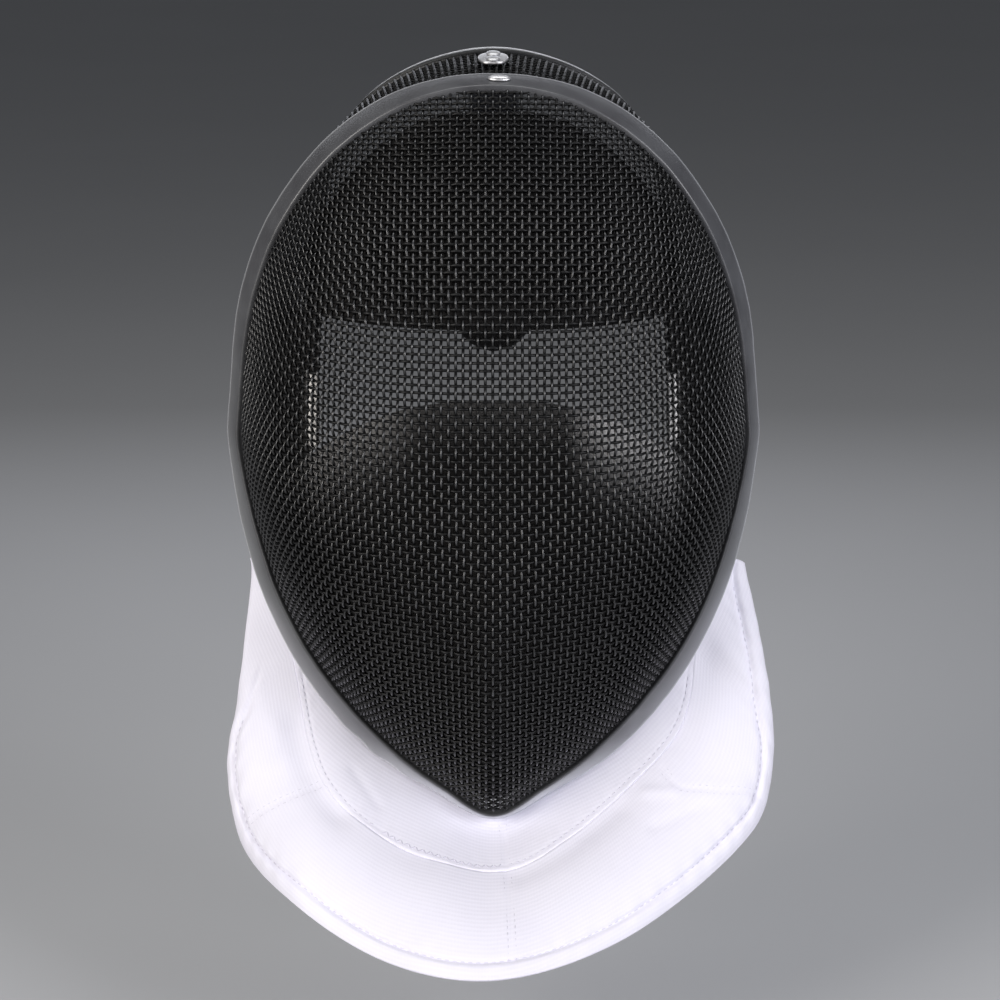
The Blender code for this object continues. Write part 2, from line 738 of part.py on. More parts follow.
def bracket_rivets(finish):
    centre, along, up = bracket_place()
    right = np.array([1.0, 0.0, 0.0])
    for name, shift in (("bracket_rivet_front", -0.27), ("bracket_rivet_rear", 0.27)):
        place = centre + along * BRACKET_LENGTH * shift + up * (BRACKET_THICK + GAP)
        dome_head(name, place, right, along, up, RIVET_RADIUS, RIVET_RADIUS, BRACKET_RIVET_HEIGHT, finish)


def trim_rivet(finish):
    edge, along, across, out = trim_frame(np.array([TRIM_RIVET_TURN]))
    place = edge[0] + across[0] * (GAP + TRIM_WIDTH * TRIM_RIVET_PLACE) + out[0] * (TRIM_SEAT + TRIM_THICK / 2 * BAND_CROWN + GAP)
    dome_head(
        "trim_rivet", place, along[0], across[0], out[0],
        TRIM_RIVET_LENGTH / 2, TRIM_RIVET_WIDTH / 2, RIVET_HEIGHT, finish,
    )


def build():
    clear_scene()
    wire = material("black coated wire", BLACK_WIRE, 0.45, 0.6)
    rubber = material("grey rubber trim", GREY_RUBBER, 0.38)
    piping = material("silver piping", SILVER_PIPING, 0.40, 0.3)
    cloth = material("white bib cloth", WHITE_CLOTH, 0.85)
    dark = material("dark lining cloth", DARK_CLOTH, 0.95)
    steel = material("plated steel", STEEL, 0.30, 1.0)
    front_mesh(wire)
    side_mesh(wire)
    front_trim(rubber)
    rear_trim(piping)
    bib_yoke(cloth)
    bib_skirt(cloth)
    chin_lining(cloth)
    forehead_pad(dark)
    side_pad("side_pad_left", 1.0, dark)
    side_pad("side_pad_right", -1.0, dark)
    tongue_spring(steel)
    tongue_pad(dark)
    tongue_bracket(steel)
    bracket_rivets(steel)
    trim_rivet(steel)


build()
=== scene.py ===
import bpy
import numpy as np
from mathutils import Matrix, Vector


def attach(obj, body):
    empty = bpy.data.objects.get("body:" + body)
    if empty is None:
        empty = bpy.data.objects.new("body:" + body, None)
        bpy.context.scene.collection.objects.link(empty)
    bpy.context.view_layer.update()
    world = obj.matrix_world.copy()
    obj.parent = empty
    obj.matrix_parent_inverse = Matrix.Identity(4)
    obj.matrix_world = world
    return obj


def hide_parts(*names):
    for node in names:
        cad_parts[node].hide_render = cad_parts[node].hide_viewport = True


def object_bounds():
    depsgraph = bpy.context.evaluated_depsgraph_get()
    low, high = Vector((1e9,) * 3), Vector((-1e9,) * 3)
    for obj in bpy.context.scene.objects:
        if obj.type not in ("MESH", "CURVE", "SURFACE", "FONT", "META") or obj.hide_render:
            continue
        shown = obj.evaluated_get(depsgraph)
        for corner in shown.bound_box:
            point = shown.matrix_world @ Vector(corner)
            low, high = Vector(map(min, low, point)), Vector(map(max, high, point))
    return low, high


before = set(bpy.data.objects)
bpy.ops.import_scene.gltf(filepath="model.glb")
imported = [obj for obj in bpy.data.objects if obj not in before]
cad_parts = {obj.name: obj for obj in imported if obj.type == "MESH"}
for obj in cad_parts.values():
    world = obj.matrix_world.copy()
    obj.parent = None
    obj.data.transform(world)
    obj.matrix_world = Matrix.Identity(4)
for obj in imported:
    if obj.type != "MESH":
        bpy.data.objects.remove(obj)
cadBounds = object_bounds()
print("frame loaded, nodes:", len(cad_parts))


# Small helpers

def toLinear(hexColour):
    # sRGB hex to linear: c / 12.92 below 0.04045, else ((c + 0.055) / 1.055) ^ 2.4
    channels = np.array([int(hexColour[i:i + 2], 16) / 255 for i in (1, 3, 5)])
    linear = np.where(channels <= 0.04045, channels / 12.92, ((channels + 0.055) / 1.055) ** 2.4)
    return (*linear.tolist(), 1.0)


def addNode(tree, kind, settings=None, inputs=None):
    # one node: settings are its properties, inputs are values or (node, output) pairs to link
    node = tree.nodes.new(kind)
    for name, value in (settings or {}).items():
        setattr(node, name, value)
    for name, value in (inputs or {}).items():
        if isinstance(value, tuple) and isinstance(value[0], bpy.types.Node):
            tree.links.new(value[0].outputs[value[1]], node.inputs[name])
        else:
            node.inputs[name].default_value = value
    return node


def newMaterial(name):
    # a material with its tree and its shader
    material = bpy.data.materials.new(name)
    material.use_nodes = True
    return material, material.node_tree, material.node_tree.nodes["Principled BSDF"]


def setShader(shader, values):
    # each value on the shader's own socket
    for name, value in values.items():
        shader.inputs[name].default_value = value


def unit(vectors):
    # v / |v|
    return vectors / np.maximum(np.linalg.norm(vectors, axis=-1, keepdims=True), 1e-12)


def runAlong(points):
    # the length along a line up to each of its points
    return np.concatenate([[0.0], np.cumsum(np.linalg.norm(np.diff(points, axis=0), axis=1))])


def rowsAt(at, run, rows):
    # each column of rows, taken at these places of run
    return np.stack([np.interp(at, run, rows[:, k]) for k in range(rows.shape[1])], -1)


def bump(distance, width):
    # a soft bell: exp(-(d / w)^2)
    return np.exp(-((distance / width) ** 2))


def waves(a, b, seed, longest, count=7):
    # a smooth random relief in -1..1: the mean of sines with seeded directions and wavelengths longest / k
    chance = np.random.default_rng(seed)
    total = 0
    for k in range(1, count + 1):
        angle = chance.uniform(0, 2 * np.pi)
        phase = chance.uniform(0, 2 * np.pi)
        wave = 2 * np.pi * (0.6 + 0.4 * k) / longest
        total = total + np.sin(wave * (a * np.cos(angle) + b * np.sin(angle)) + phase) / k**0.7
    return total / 2.6


def smoothTable(knots, values, at):
    # cubic through every row: h00 v0 + h10 s m0 + h01 v1 + h11 s m1
    knots = np.asarray(knots, float)
    values = np.asarray(values, float)
    slopes = np.gradient(values, knots, axis=0)
    row = np.clip(np.searchsorted(knots, at, side="right") - 1, 0, len(knots) - 2)
    span = knots[row + 1] - knots[row]
    t = ((at - knots[row]) / span)[..., None]
    span = span[..., None]
    start = (1 + 2 * t) * (1 - t) ** 2 * values[row] + t * (1 - t) ** 2 * span * slopes[row]
    end = t * t * (3 - 2 * t) * values[row + 1] + t * t * (t - 1) * span * slopes[row + 1]
    return start + end


def buildPiece(name, points, faceSets, material, replaces=(), uv=None, marks=None):
    # a mesh from whole arrays: points [n, 3], and face arrays of one row a face; turned to face outwards
    points = np.asarray(points, float)
    volume = 0.0
    for faces in faceSets:
        for k in range(1, faces.shape[1] - 1):
            a, b, c = points[faces[:, 0]], points[faces[:, k]], points[faces[:, k + 1]]
            volume += float(np.sum(a * np.cross(b, c)))
    if volume < 0:
        faceSets = [faces[:, ::-1] for faces in faceSets]
    mesh = bpy.data.meshes.new(name)
    corners = np.concatenate([faces.ravel() for faces in faceSets]).astype(np.int32)
    sizes = np.concatenate([np.full(len(faces), faces.shape[1]) for faces in faceSets])
    starts = (np.cumsum(sizes) - sizes).astype(np.int32)
    mesh.vertices.add(len(points))
    mesh.vertices.foreach_set("co", points.astype(np.float32).ravel())
    mesh.loops.add(len(corners))
    mesh.loops.foreach_set("vertex_index", corners)
    mesh.polygons.add(len(sizes))
    mesh.polygons.foreach_set("loop_start", starts)
    mesh.update(calc_edges=True)
    mesh.polygons.foreach_set("use_smooth", np.ones(len(sizes), bool))
    if uv is not None:
        layer = mesh.uv_layers.new(name="clothMap")
        layer.data.foreach_set("uv", uv[corners].astype(np.float32).ravel())
    if marks is not None:
        layer = mesh.attributes.new("wear", "FLOAT", "POINT")
        layer.data.foreach_set("value", marks.astype(np.float32))
    mesh.validate()
    piece = bpy.data.objects.new(name, mesh)
    piece.data.materials.append(material)
    bpy.context.scene.collection.objects.link(piece)
    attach(piece, "root")
    if replaces:
        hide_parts(*replaces)
    return piece


def gridFaces(rows, columns, wrapRows=False, wrapColumns=False, offset=0, flip=False):
    # quads between the points r * columns + c of a grid
    r = np.arange(rows if wrapRows else rows - 1)[:, None]
    c = np.arange(columns if wrapColumns else columns - 1)[None]
    r, c = np.broadcast_arrays(r, c)
    down = (r + 1) % rows
    right = (c + 1) % columns
    quads = np.stack([r * columns + c, down * columns + c, down * columns + right, r * columns + right], -1)
    quads = quads.reshape(-1, 4) + offset
    return quads[:, ::-1] if flip else quads


def gridNormals(grid, wrapColumns=False):
    # the cross product of the grid's two central differences
    rows = np.gradient(grid, axis=0)
    if wrapColumns:
        columns = (np.roll(grid, -1, axis=1) - np.roll(grid, 1, axis=1)) / 2
    else:
        columns = np.gradient(grid, axis=1)
    return unit(np.cross(rows, columns))


def shellPiece(name, outer, inner, material, replaces=(), uvGrid=None, rounded=0.0, marks=None):
    # two grids joined round their border by a half-round edge: mid + out * rounded * sin(k)
    rows, columns = outer.shape[:2]
    count = rows * columns
    border = np.concatenate([
        np.arange(columns),
        np.arange(1, rows) * columns + columns - 1,
        (rows - 1) * columns + np.arange(columns - 2, -1, -1),
        np.arange(rows - 2, 0, -1) * columns,
    ])
    flatOuter = outer.reshape(-1, 3)
    flatInner = inner.reshape(-1, 3)
    middle = (flatOuter + flatInner) / 2
    edgeOuter, edgeInner = flatOuter[border], flatInner[border]
    centre = middle[border]
    along = unit(np.roll(centre, -1, axis=0) - np.roll(centre, 1, axis=0))
    through = edgeOuter - edgeInner
    away = unit(np.cross(along, through))
    inward = middle[neighbourInside(border, rows, columns)] - centre
    away *= np.where(np.sum(away * inward, axis=-1, keepdims=True) > 0, -1.0, 1.0)
    rings = [
        centre + through / 2 * np.cos(angle) + away * rounded * np.sin(angle)
        for angle in np.linspace(0, np.pi, 5)[1:-1]
    ]
    points = np.concatenate([flatOuter, flatInner] + rings)
    n = len(border)
    strips = [border] + [2 * count + k * n + np.arange(n) for k in range(3)] + [count + border]
    faceSets = [gridFaces(rows, columns), gridFaces(rows, columns, offset=count, flip=True)]
    for high, low in zip(strips[:-1], strips[1:]):
        faceSets.append(np.stack([np.roll(high, -1), high, low, np.roll(low, -1)], -1)[:, ::-1])
    uv = None
    if uvGrid is not None:
        flat = uvGrid.reshape(-1, 2)
        uv = np.concatenate([flat, flat] + [flat[border]] * 3)
    if marks is not None:
        flat = marks.ravel()
        marks = np.concatenate([flat, 0 * flat] + [flat[border]] * 3)
    return buildPiece(name, points, [np.concatenate(faceSets)], material, replaces, uv, marks)


def neighbourInside(border, rows, columns):
    # the grid point one step inside each border point
    r, c = np.divmod(border, columns)
    return np.clip(r, 1, rows - 2) * columns + np.clip(c, 1, columns - 2)


def sweepPiece(name, centres, across, out, section, material, replaces=(), closed=False, uvScale=None,
               marks=None):
    # a section of (across, out) lengths carried along a path; section may vary: [rings, sides, 2]
    section = np.broadcast_to(section, (len(centres),) + section.shape[-2:])
    grid = (
        centres[:, None]
        + across[:, None] * section[..., 0:1]
        + out[:, None] * section[..., 1:2]
    )
    rings, sides = grid.shape[:2]
    faceSets = [gridFaces(rings, sides, wrapRows=closed, wrapColumns=True)]
    if not closed:
        faceSets.append(np.arange(sides)[None])
        faceSets.append(((rings - 1) * sides + np.arange(sides))[None, ::-1])
    uv = None
    if uvScale is not None:
        girth = np.linspace(0, uvScale, sides)
        uv = np.stack(np.broadcast_arrays(runAlong(centres)[:, None], girth[None]), -1).reshape(-1, 2)
    if marks is not None:
        marks = np.broadcast_to(marks, grid.shape[:2]).ravel()
    return buildPiece(name, grid.reshape(-1, 3), faceSets, material, replaces, uv, marks)


# The mask's measured shape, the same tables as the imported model

mask = dict(
    width=0.2074, height=0.299, noseReach=0.075, noseDrop=0.127, ridgeHeight=0.0022, ridgeWidth=0.013,
    crownAhead=0.040, crownBelow=0.006, rearDepth=0.050, sideBulge=0.0020, jawTurn=0.62, bibTurn=0.638,
    lipPower=14, creasePower=0.8,
)
# across, down and back as shares of half width, height and nose reach; tilt in degrees; how the dome falls
trimStations = np.array([
    (0.000, 0.000, 0.000, 12, 2.30, 0.00),
    (0.294, 0.018, 0.009, 16, 2.30, 0.00),
    (0.463, 0.049, 0.027, 19, 2.35, 0.02),
    (0.621, 0.093, 0.050, 19, 2.40, 0.05),
    (0.777, 0.163, 0.083, 20, 2.50, 0.10),
    (0.872, 0.226, 0.118, 21, 2.60, 0.16),
    (0.940, 0.300, 0.152, 21, 2.70, 0.22),
    (0.985, 0.395, 0.192, 18, 2.80, 0.27),
    (1.000, 0.490, 0.207, 19, 2.80, 0.28),
    (0.932, 0.620, 0.159, 27, 2.80, 0.24),
    (0.805, 0.737, 0.065, 33, 2.75, 0.16),
    (0.644, 0.823, -0.012, 39, 2.70, 0.10),
    (0.450, 0.897, -0.081, 39, 2.70, 0.07),
    (0.186, 0.966, -0.155, 27, 2.70, 0.05),
    (0.000, 1.000, -0.187, 24, 2.70, 0.05),
])
# across, down and back as shares of half width, height and rear depth
rearStations = np.array([
    (0.000, -0.030, 1.00),
    (0.250, -0.014, 1.04),
    (0.480, 0.032, 1.18),
    (0.640, 0.106, 1.40),
    (0.740, 0.225, 1.70),
    (0.785, 0.370, 1.90),
    (0.815, 0.500, 1.88),
    (0.835, 0.590, 1.62),
    (0.900, 0.650, 1.14),
    (0.960, 0.660, 0.72),
])
flipSide = np.array([-1.0, 1.0, 1.0])


def fromCrown(across, back, down):
    # crown-based lengths to the frame: (x, back - ahead, -down - below)
    return np.stack(
        np.broadcast_arrays(across, back - mask["crownAhead"], -down - mask["crownBelow"]), axis=-1
    )


def chordKnots(points):
    # the length along the points as a share of the whole
    knots = runAlong(points)
    return knots / knots[-1]


def mirroredTrimTable():
    # the trim's rows from crown to chin, carried past both ends by their mirror images
    points = fromCrown(
        trimStations[:, 0] * mask["width"] / 2,
        trimStations[:, 2] * mask["noseReach"],
        trimStations[:, 1] * mask["height"],
    )
    extras = trimStations[:, 3:]
    knots = chordKnots(points)
    before, after = slice(3, 0, -1), slice(-2, -5, -1)
    allKnots = np.concatenate([-knots[before], knots, 2.0 - knots[after]])
    allPoints = np.concatenate([points[before] * flipSide, points, points[after] * flipSide])
    allExtras = np.concatenate([extras[before], extras, extras[after]])
    return allKnots, np.hstack([allPoints, allExtras])


trimKnots, trimRows = mirroredTrimTable()
noseTip = fromCrown(0.0, -mask["noseReach"], mask["noseDrop"])


def trimAt(turn):
    # the trim's front edge: turn 0 at the crown, +-1 at the chin
    turn = np.asarray(turn, float)
    rows = smoothTable(trimKnots, trimRows, np.abs(turn))
    points = rows[..., :3].copy()
    points[..., 0] *= np.where(turn < 0, -1.0, 1.0)
    return points, rows[..., 3:]


def trimFrame(turn):
    # edge, along (tangent), across = outward sin(tilt) + rear cos(tilt), out = outward cos(tilt) - rear sin(tilt)
    turn = np.asarray(turn, float)
    edge, extras = trimAt(turn)
    side = np.where(turn < 0, -1.0, 1.0)
    ahead = trimAt(side * np.minimum(np.abs(turn) + 1e-4, 1.0))[0]
    behind = trimAt(side * np.maximum(np.abs(turn) - 1e-4, 0.0))[0]
    along = unit((ahead - behind) * side[..., None])
    outward = unit(np.stack([-along[..., 2], 0 * turn, along[..., 0]], axis=-1))
    tilt = np.radians(extras[..., 0])[..., None]
    rear = np.array([0.0, 1.0, 0.0])
    across = unit(outward * np.sin(tilt) + rear * np.cos(tilt))
    out = unit(outward * np.cos(tilt) - rear * np.sin(tilt))
    return edge, along, across, out


# dense lookup by heading round the nose, so that the dome is a height field y(x, z)
lookTurns = np.linspace(-1, 1, 2401)
lookEdge, lookExtras = trimAt(lookTurns)
lookHeading = np.arctan2(lookEdge[:, 0], lookEdge[:, 2] - noseTip[2])
lookHeading[[0, -1]] = [-np.pi, np.pi]
lookReach = np.hypot(lookEdge[:, 0], lookEdge[:, 2] - noseTip[2])


def domeShare(x, z):
    # distance from the nose over the distance to the trim on the same heading
    heading = np.arctan2(x, z - noseTip[2])
    return np.hypot(x, z - noseTip[2]) / np.interp(heading, lookHeading, lookReach)


def domeDepth(x, z):
    # y = nose + (edge - nose) * ((1 - lip) s^power + lip s^lipPower) - ridge, straight on past the trim
    heading = np.arctan2(x, z - noseTip[2])
    share = np.hypot(x, z - noseTip[2]) / np.interp(heading, lookHeading, lookReach)
    power = np.interp(heading, lookHeading, lookExtras[:, 1])
    lip = np.interp(heading, lookHeading, lookExtras[:, 2])
    edgeY = np.interp(heading, lookHeading, lookEdge[:, 1])
    inner = np.minimum(share, 1.0)
    fall = (1 - lip) * inner**power + lip * inner ** mask["lipPower"]
    fall = fall + np.maximum(share - 1.0, 0.0) * ((1 - lip) * power + lip * mask["lipPower"])
    below = np.clip((noseTip[2] - z) / (mask["height"] - mask["noseDrop"]), 0, 1)
    crease = bump(x, mask["ridgeWidth"]) * np.sin(np.pi * below ** mask["creasePower"])
    return noseTip[1] + (edgeY - noseTip[1]) * fall - mask["ridgeHeight"] * crease


def domePoint(x, z):
    # (x, domeDepth(x, z), z)
    return np.stack([x, domeDepth(x, z), z], axis=-1)


# Materials

def makeCoatedWire(name, crestWearAndHighlight, smooth, dull, coat, gloss):
    # e-coated steel wire, woven then painted: satin black; the grey on the crests is wear and a painted highlight
    material, tree, shader = newMaterial(name)
    wear = addNode(tree, "ShaderNodeAttribute", dict(attribute_name="wear"))
    place = addNode(tree, "ShaderNodeTexCoord")
    patches = addNode(tree, "ShaderNodeTexNoise", None,
                      {"Vector": (place, "Object"), "Scale": 90.0, "Detail": 4.0, "Roughness": 0.6})
    rubAndPaintedLight = addNode(tree, "ShaderNodeMath", dict(operation="MULTIPLY"), {0: (wear, "Fac"), 1: (patches, "Fac")})
    ramp = addNode(tree, "ShaderNodeMapRange", None,
                   {"Value": (rubAndPaintedLight, 0), "From Min": 0.18, "From Max": 0.62, "To Min": 0.0, "To Max": 0.8})
    # the crest colour: wear and a painted highlight where the mark is high
    mix = addNode(tree, "ShaderNodeMix", dict(data_type="RGBA"),
                  {0: (ramp, 0), 6: toLinear("#040405"), 7: toLinear(crestWearAndHighlight)})
    rough = addNode(tree, "ShaderNodeMapRange", None,
                    {"Value": (patches, "Fac"), "From Min": 0.3, "From Max": 0.7, "To Min": smooth, "To Max": dull})
    tree.links.new(mix.outputs[2], shader.inputs["Base Color"])
    tree.links.new(rough.outputs[0], shader.inputs["Roughness"])
    setShader(shader, {"IOR": 1.6, "Specular IOR Level": gloss, "Coat Weight": coat, "Coat Roughness": 0.12})
    return material


def makeTrimRubber():
    # moulded PVC rubber channel: dark neutral grey, satin, clouded by handling; a painted highlight makes its outer
    # bead, lower sides and chin edge pale (mark above 0) and painted shade makes the slot where it grips the wires
    # black (mark below 0)
    material, tree, shader = newMaterial("mouldedGreyRubber")
    place = addNode(tree, "ShaderNodeTexCoord")
    wear = addNode(tree, "ShaderNodeAttribute", dict(attribute_name="wear"))
    clouds = addNode(tree, "ShaderNodeTexNoise", None,
                     {"Vector": (place, "Object"), "Scale": 55.0, "Detail": 6.0, "Roughness": 0.62})
    grain = addNode(tree, "ShaderNodeTexNoise", None,
                    {"Vector": (place, "Object"), "Scale": 1400.0, "Detail": 2.0})
    ramp = addNode(tree, "ShaderNodeMapRange", None,
                   {"Value": (clouds, "Fac"), "From Min": 0.3, "From Max": 0.72, "To Min": 0.0, "To Max": 1.0})
    body = addNode(tree, "ShaderNodeMix", dict(data_type="RGBA"),
                   {0: (ramp, 0), 6: toLinear("#454548"), 7: toLinear("#57585b")})
    rubAndPaintedLight = addNode(tree, "ShaderNodeMath", dict(operation="MULTIPLY", use_clamp=True), {0: (wear, "Fac"), 1: 0.85})
    # painted highlight: pale grey where the mark is above 0
    paintedHighlight = addNode(tree, "ShaderNodeMix", dict(data_type="RGBA"),
                   {0: (rubAndPaintedLight, 0), 6: (body, 2), 7: toLinear("#cdcfd3")})
    # painted shade: near black in the slot, where the mark is below 0
    slotShade = addNode(tree, "ShaderNodeMath", dict(operation="MULTIPLY", use_clamp=True), {0: (wear, "Fac"), 1: -1.0})
    mix = addNode(tree, "ShaderNodeMix", dict(data_type="RGBA"),
                  {0: (slotShade, 0), 6: (paintedHighlight, 2), 7: toLinear("#09090a")})
    rough = addNode(tree, "ShaderNodeMapRange", None,
                    {"Value": (clouds, "Fac"), "From Min": 0.3, "From Max": 0.7, "To Min": 0.28, "To Max": 0.42})
    relief = addNode(tree, "ShaderNodeBump", None,
                     {"Strength": 0.12, "Distance": 0.0002, "Height": (grain, "Fac")})
    tree.links.new(mix.outputs[2], shader.inputs["Base Color"])
    tree.links.new(rough.outputs[0], shader.inputs["Roughness"])
    tree.links.new(relief.outputs[0], shader.inputs["Normal"])
    setShader(shader, {"IOR": 1.52})
    return material


def clothMaterial(name, light, dark, ribPitch, ribDepth, roughness, sheen, clouding, edge=None):
    # woven cloth: ribs across the piece's own map, crossed by a finer yarn, with slow soiling in the colour;
    # edge is the colour where the piece's mark is 1: a binding's own colour on the pads and the piping, and painted
    # light on the chin lining
    material, tree, shader = newMaterial(name)
    own = addNode(tree, "ShaderNodeUVMap", dict(uv_map="clothMap"))
    place = addNode(tree, "ShaderNodeTexCoord")
    ribs = addNode(tree, "ShaderNodeTexWave", dict(wave_type="BANDS", bands_direction="Y", wave_profile="SIN"),
                   {"Vector": (own, 0), "Scale": 1 / ribPitch / 3.1416, "Distortion": 0.6, "Detail": 2.0,
                    "Detail Scale": 1.5})
    yarns = addNode(tree, "ShaderNodeTexWave", dict(wave_type="BANDS", bands_direction="X", wave_profile="SIN"),
                    {"Vector": (own, 0), "Scale": 1.4 / ribPitch / 3.1416, "Distortion": 0.8, "Detail": 2.0,
                     "Detail Scale": 2.0})
    weave = addNode(tree, "ShaderNodeMath", dict(operation="MULTIPLY_ADD"),
                    {0: (yarns, "Fac"), 1: 0.35, 2: (ribs, "Fac")})
    clouds = addNode(tree, "ShaderNodeTexNoise", None,
                     {"Vector": (place, "Object"), "Scale": clouding, "Detail": 5.0, "Roughness": 0.55})
    ramp = addNode(tree, "ShaderNodeMapRange", None,
                   {"Value": (clouds, "Fac"), "From Min": 0.35, "From Max": 0.7, "To Min": 0.0, "To Max": 0.35})
    lines = addNode(tree, "ShaderNodeMath", dict(operation="MULTIPLY_ADD"),
                    {0: (weave, 0), 1: -0.22, 2: (ramp, 0)})
    shade = addNode(tree, "ShaderNodeMath", dict(operation="ADD", use_clamp=True), {0: (lines, 0), 1: 0.24})
    mix = addNode(tree, "ShaderNodeMix", dict(data_type="RGBA"),
                  {0: (shade, 0), 6: toLinear(light), 7: toLinear(dark)})
    if edge is not None:
        edgeMarkAndPaintedLight = addNode(tree, "ShaderNodeAttribute", dict(attribute_name="wear"))
        mix = addNode(tree, "ShaderNodeMix", dict(data_type="RGBA"),
                      {0: (edgeMarkAndPaintedLight, "Fac"), 6: (mix, 2), 7: toLinear(edge)})
    relief = addNode(tree, "ShaderNodeBump", None,
                     {"Strength": 0.35, "Distance": ribDepth, "Height": (weave, 0)})
    tree.links.new(mix.outputs[2], shader.inputs["Base Color"])
    tree.links.new(relief.outputs[0], shader.inputs["Normal"])
    setShader(shader, {"Roughness": roughness, "Sheen Weight": sheen, "Sheen Roughness": 0.4, "IOR": 1.45})
    return material


def makeRolledSteel(name, dark, light):
    # rolled steel, plated or blackened: fine streaks along its length and dulled patches
    material, tree, shader = newMaterial(name)
    place = addNode(tree, "ShaderNodeTexCoord")
    stretch = addNode(tree, "ShaderNodeMapping", None, {"Vector": (place, "Object"), "Scale": (9.0, 1.0, 1.0)})
    streaks = addNode(tree, "ShaderNodeTexNoise", None,
                      {"Vector": (stretch, 0), "Scale": 260.0, "Detail": 3.0})
    rough = addNode(tree, "ShaderNodeMapRange", None,
                    {"Value": (streaks, "Fac"), "From Min": 0.3, "From Max": 0.7, "To Min": 0.36, "To Max": 0.55})
    relief = addNode(tree, "ShaderNodeBump", None,
                     {"Strength": 0.15, "Distance": 0.0001, "Height": (streaks, "Fac")})
    mix = addNode(tree, "ShaderNodeMix", dict(data_type="RGBA"),
                  {0: (streaks, "Fac"), 6: toLinear(dark), 7: toLinear(light)})
    tree.links.new(mix.outputs[2], shader.inputs["Base Color"])
    tree.links.new(rough.outputs[0], shader.inputs["Roughness"])
    tree.links.new(relief.outputs[0], shader.inputs["Normal"])
    setShader(shader, {"Metallic": 1.0})
    return material


def makeFloor():
    # matt painted board: pale, with the faintest clouding so that it isn't one flat tone
    material, tree, shader = newMaterial("paintedFloorBoard")
    place = addNode(tree, "ShaderNodeTexCoord")
    clouds = addNode(tree, "ShaderNodeTexNoise", None,
                     {"Vector": (place, "Object"), "Scale": 2.5, "Detail": 3.0})
    mix = addNode(tree, "ShaderNodeMix", dict(data_type="RGBA"),
                  {0: (clouds, "Fac"), 6: toLinear("#b4b5b7"), 7: toLinear("#babbbd")})
    tree.links.new(mix.outputs[2], shader.inputs["Base Color"])
    setShader(shader, {"Roughness": 0.85})
    return material


# the uprights' crests carry a painted highlight and a glossier coat; the cross wires are duller
shinyWire = makeCoatedWire("coatedSteelWire", "#4c4d50", 0.28, 0.38, 0.12, 0.5)
dullWire = makeCoatedWire("coatedSteelCrossWire", "#0b0c0d", 0.40, 0.55, 0.0, 0.22)
trimRubber = makeTrimRubber()
bibCloth = clothMaterial("ribbedBibCloth", "#efedf8", "#e2e0ee", 0.0019, 0.00009, 0.82, 0.15, 28.0)
# the lining is pale cloth: its dark colours are painted shade, and its edge colour shows where its mark paints light
liningCloth = clothMaterial("brushedLiningCloth", "#1b1918", "#121010", 0.0009, 0.0002, 0.9, 0.2, 40.0, "#e6e4e3")
darkCloth = clothMaterial("brushedDarkKnit", "#161414", "#0c0b0b", 0.0012, 0.0003, 0.95, 0.15, 60.0, "#f0eeec")
pipingTape = clothMaterial("wovenSilverTape", "#dcdee1", "#a9acb1", 0.0010, 0.0002, 0.40, 0.1, 80.0, "#17181a")
sewingThread = clothMaterial("polyesterThread", "#e3e1ec", "#cac7d8", 0.0005, 0.0001, 0.6, 0.2, 90.0)
platedSteel = makeRolledSteel("nickelPlatedSteel", "#cfcfd1", "#e6e6e8")
springSteel = makeRolledSteel("blackenedSpringSteel", "#34353a", "#4b4c51")
print("materials made")


# The woven wire: a net of even steps laid over the dome, as cloth of stiff threads drapes over a form

wires = dict(
    radius=0.00060, lift=0.00056, stepAcross=0.00285, stepUp=0.00295, sides=5, hidden=1.012,
    netReach=0.16, netAcross=54, netUp=80, tallReach=0.216, splitRow=16, fine=4001, quarterWave=0.71,
    sideHidden=1.03, overRadius=0.00048, overLift=0.00050, overSunk=0.0003,
    ribRadius=0.00064, ribLift=0.00022, ribRaised=0.0004,
)


def netOverDome():
    # node (i, j) lies on the dome, one step from (i-1, j) and one from (i, j-1): solved by Newton on (x, z)
    fine = np.linspace(0, wires["netReach"], wires["fine"])
    tall = np.linspace(0, wires["tallReach"], wires["fine"])
    countX, countZ = wires["netAcross"], wires["netUp"]
    spots = np.full((2 * countX + 1, 2 * countZ + 1, 3), np.nan)

    def evenSteps(line, step, count):
        # the points of a line at 0, step, 2 step ... along it
        index = np.arange(len(line))
        return rowsAt(np.interp(np.arange(count + 1) * step, runAlong(line), index), index, line)

    for side in (1, -1):
        line = domePoint(side * fine, 0 * fine + noseTip[2])
        spots[countX + side * np.arange(countX + 1), countZ] = evenSteps(line, wires["stepAcross"], countX)
        line = domePoint(0 * tall, noseTip[2] + side * tall)
        spots[countX, countZ + side * np.arange(countZ + 1)] = evenSteps(line, wires["stepUp"], countZ)
    for sideX in (1, -1):
        for sideZ in (1, -1):
            for diagonal in range(2, countX + countZ + 1):  # nodes of one diagonal at once
                i = np.arange(max(1, diagonal - countZ), min(countX, diagonal - 1) + 1)
                j = diagonal - i
                beside = spots[countX + sideX * (i - 1), countZ + sideZ * j]
                under = spots[countX + sideX * i, countZ + sideZ * (j - 1)]
                corner = spots[countX + sideX * (i - 1), countZ + sideZ * (j - 1)]
                guess = beside + under - corner
                x, z = guess[:, 0], guess[:, 2]
                x, z = settleNode(x, z, beside, under)
                spots[countX + sideX * i, countZ + sideZ * j] = domePoint(x, z)
    return spots


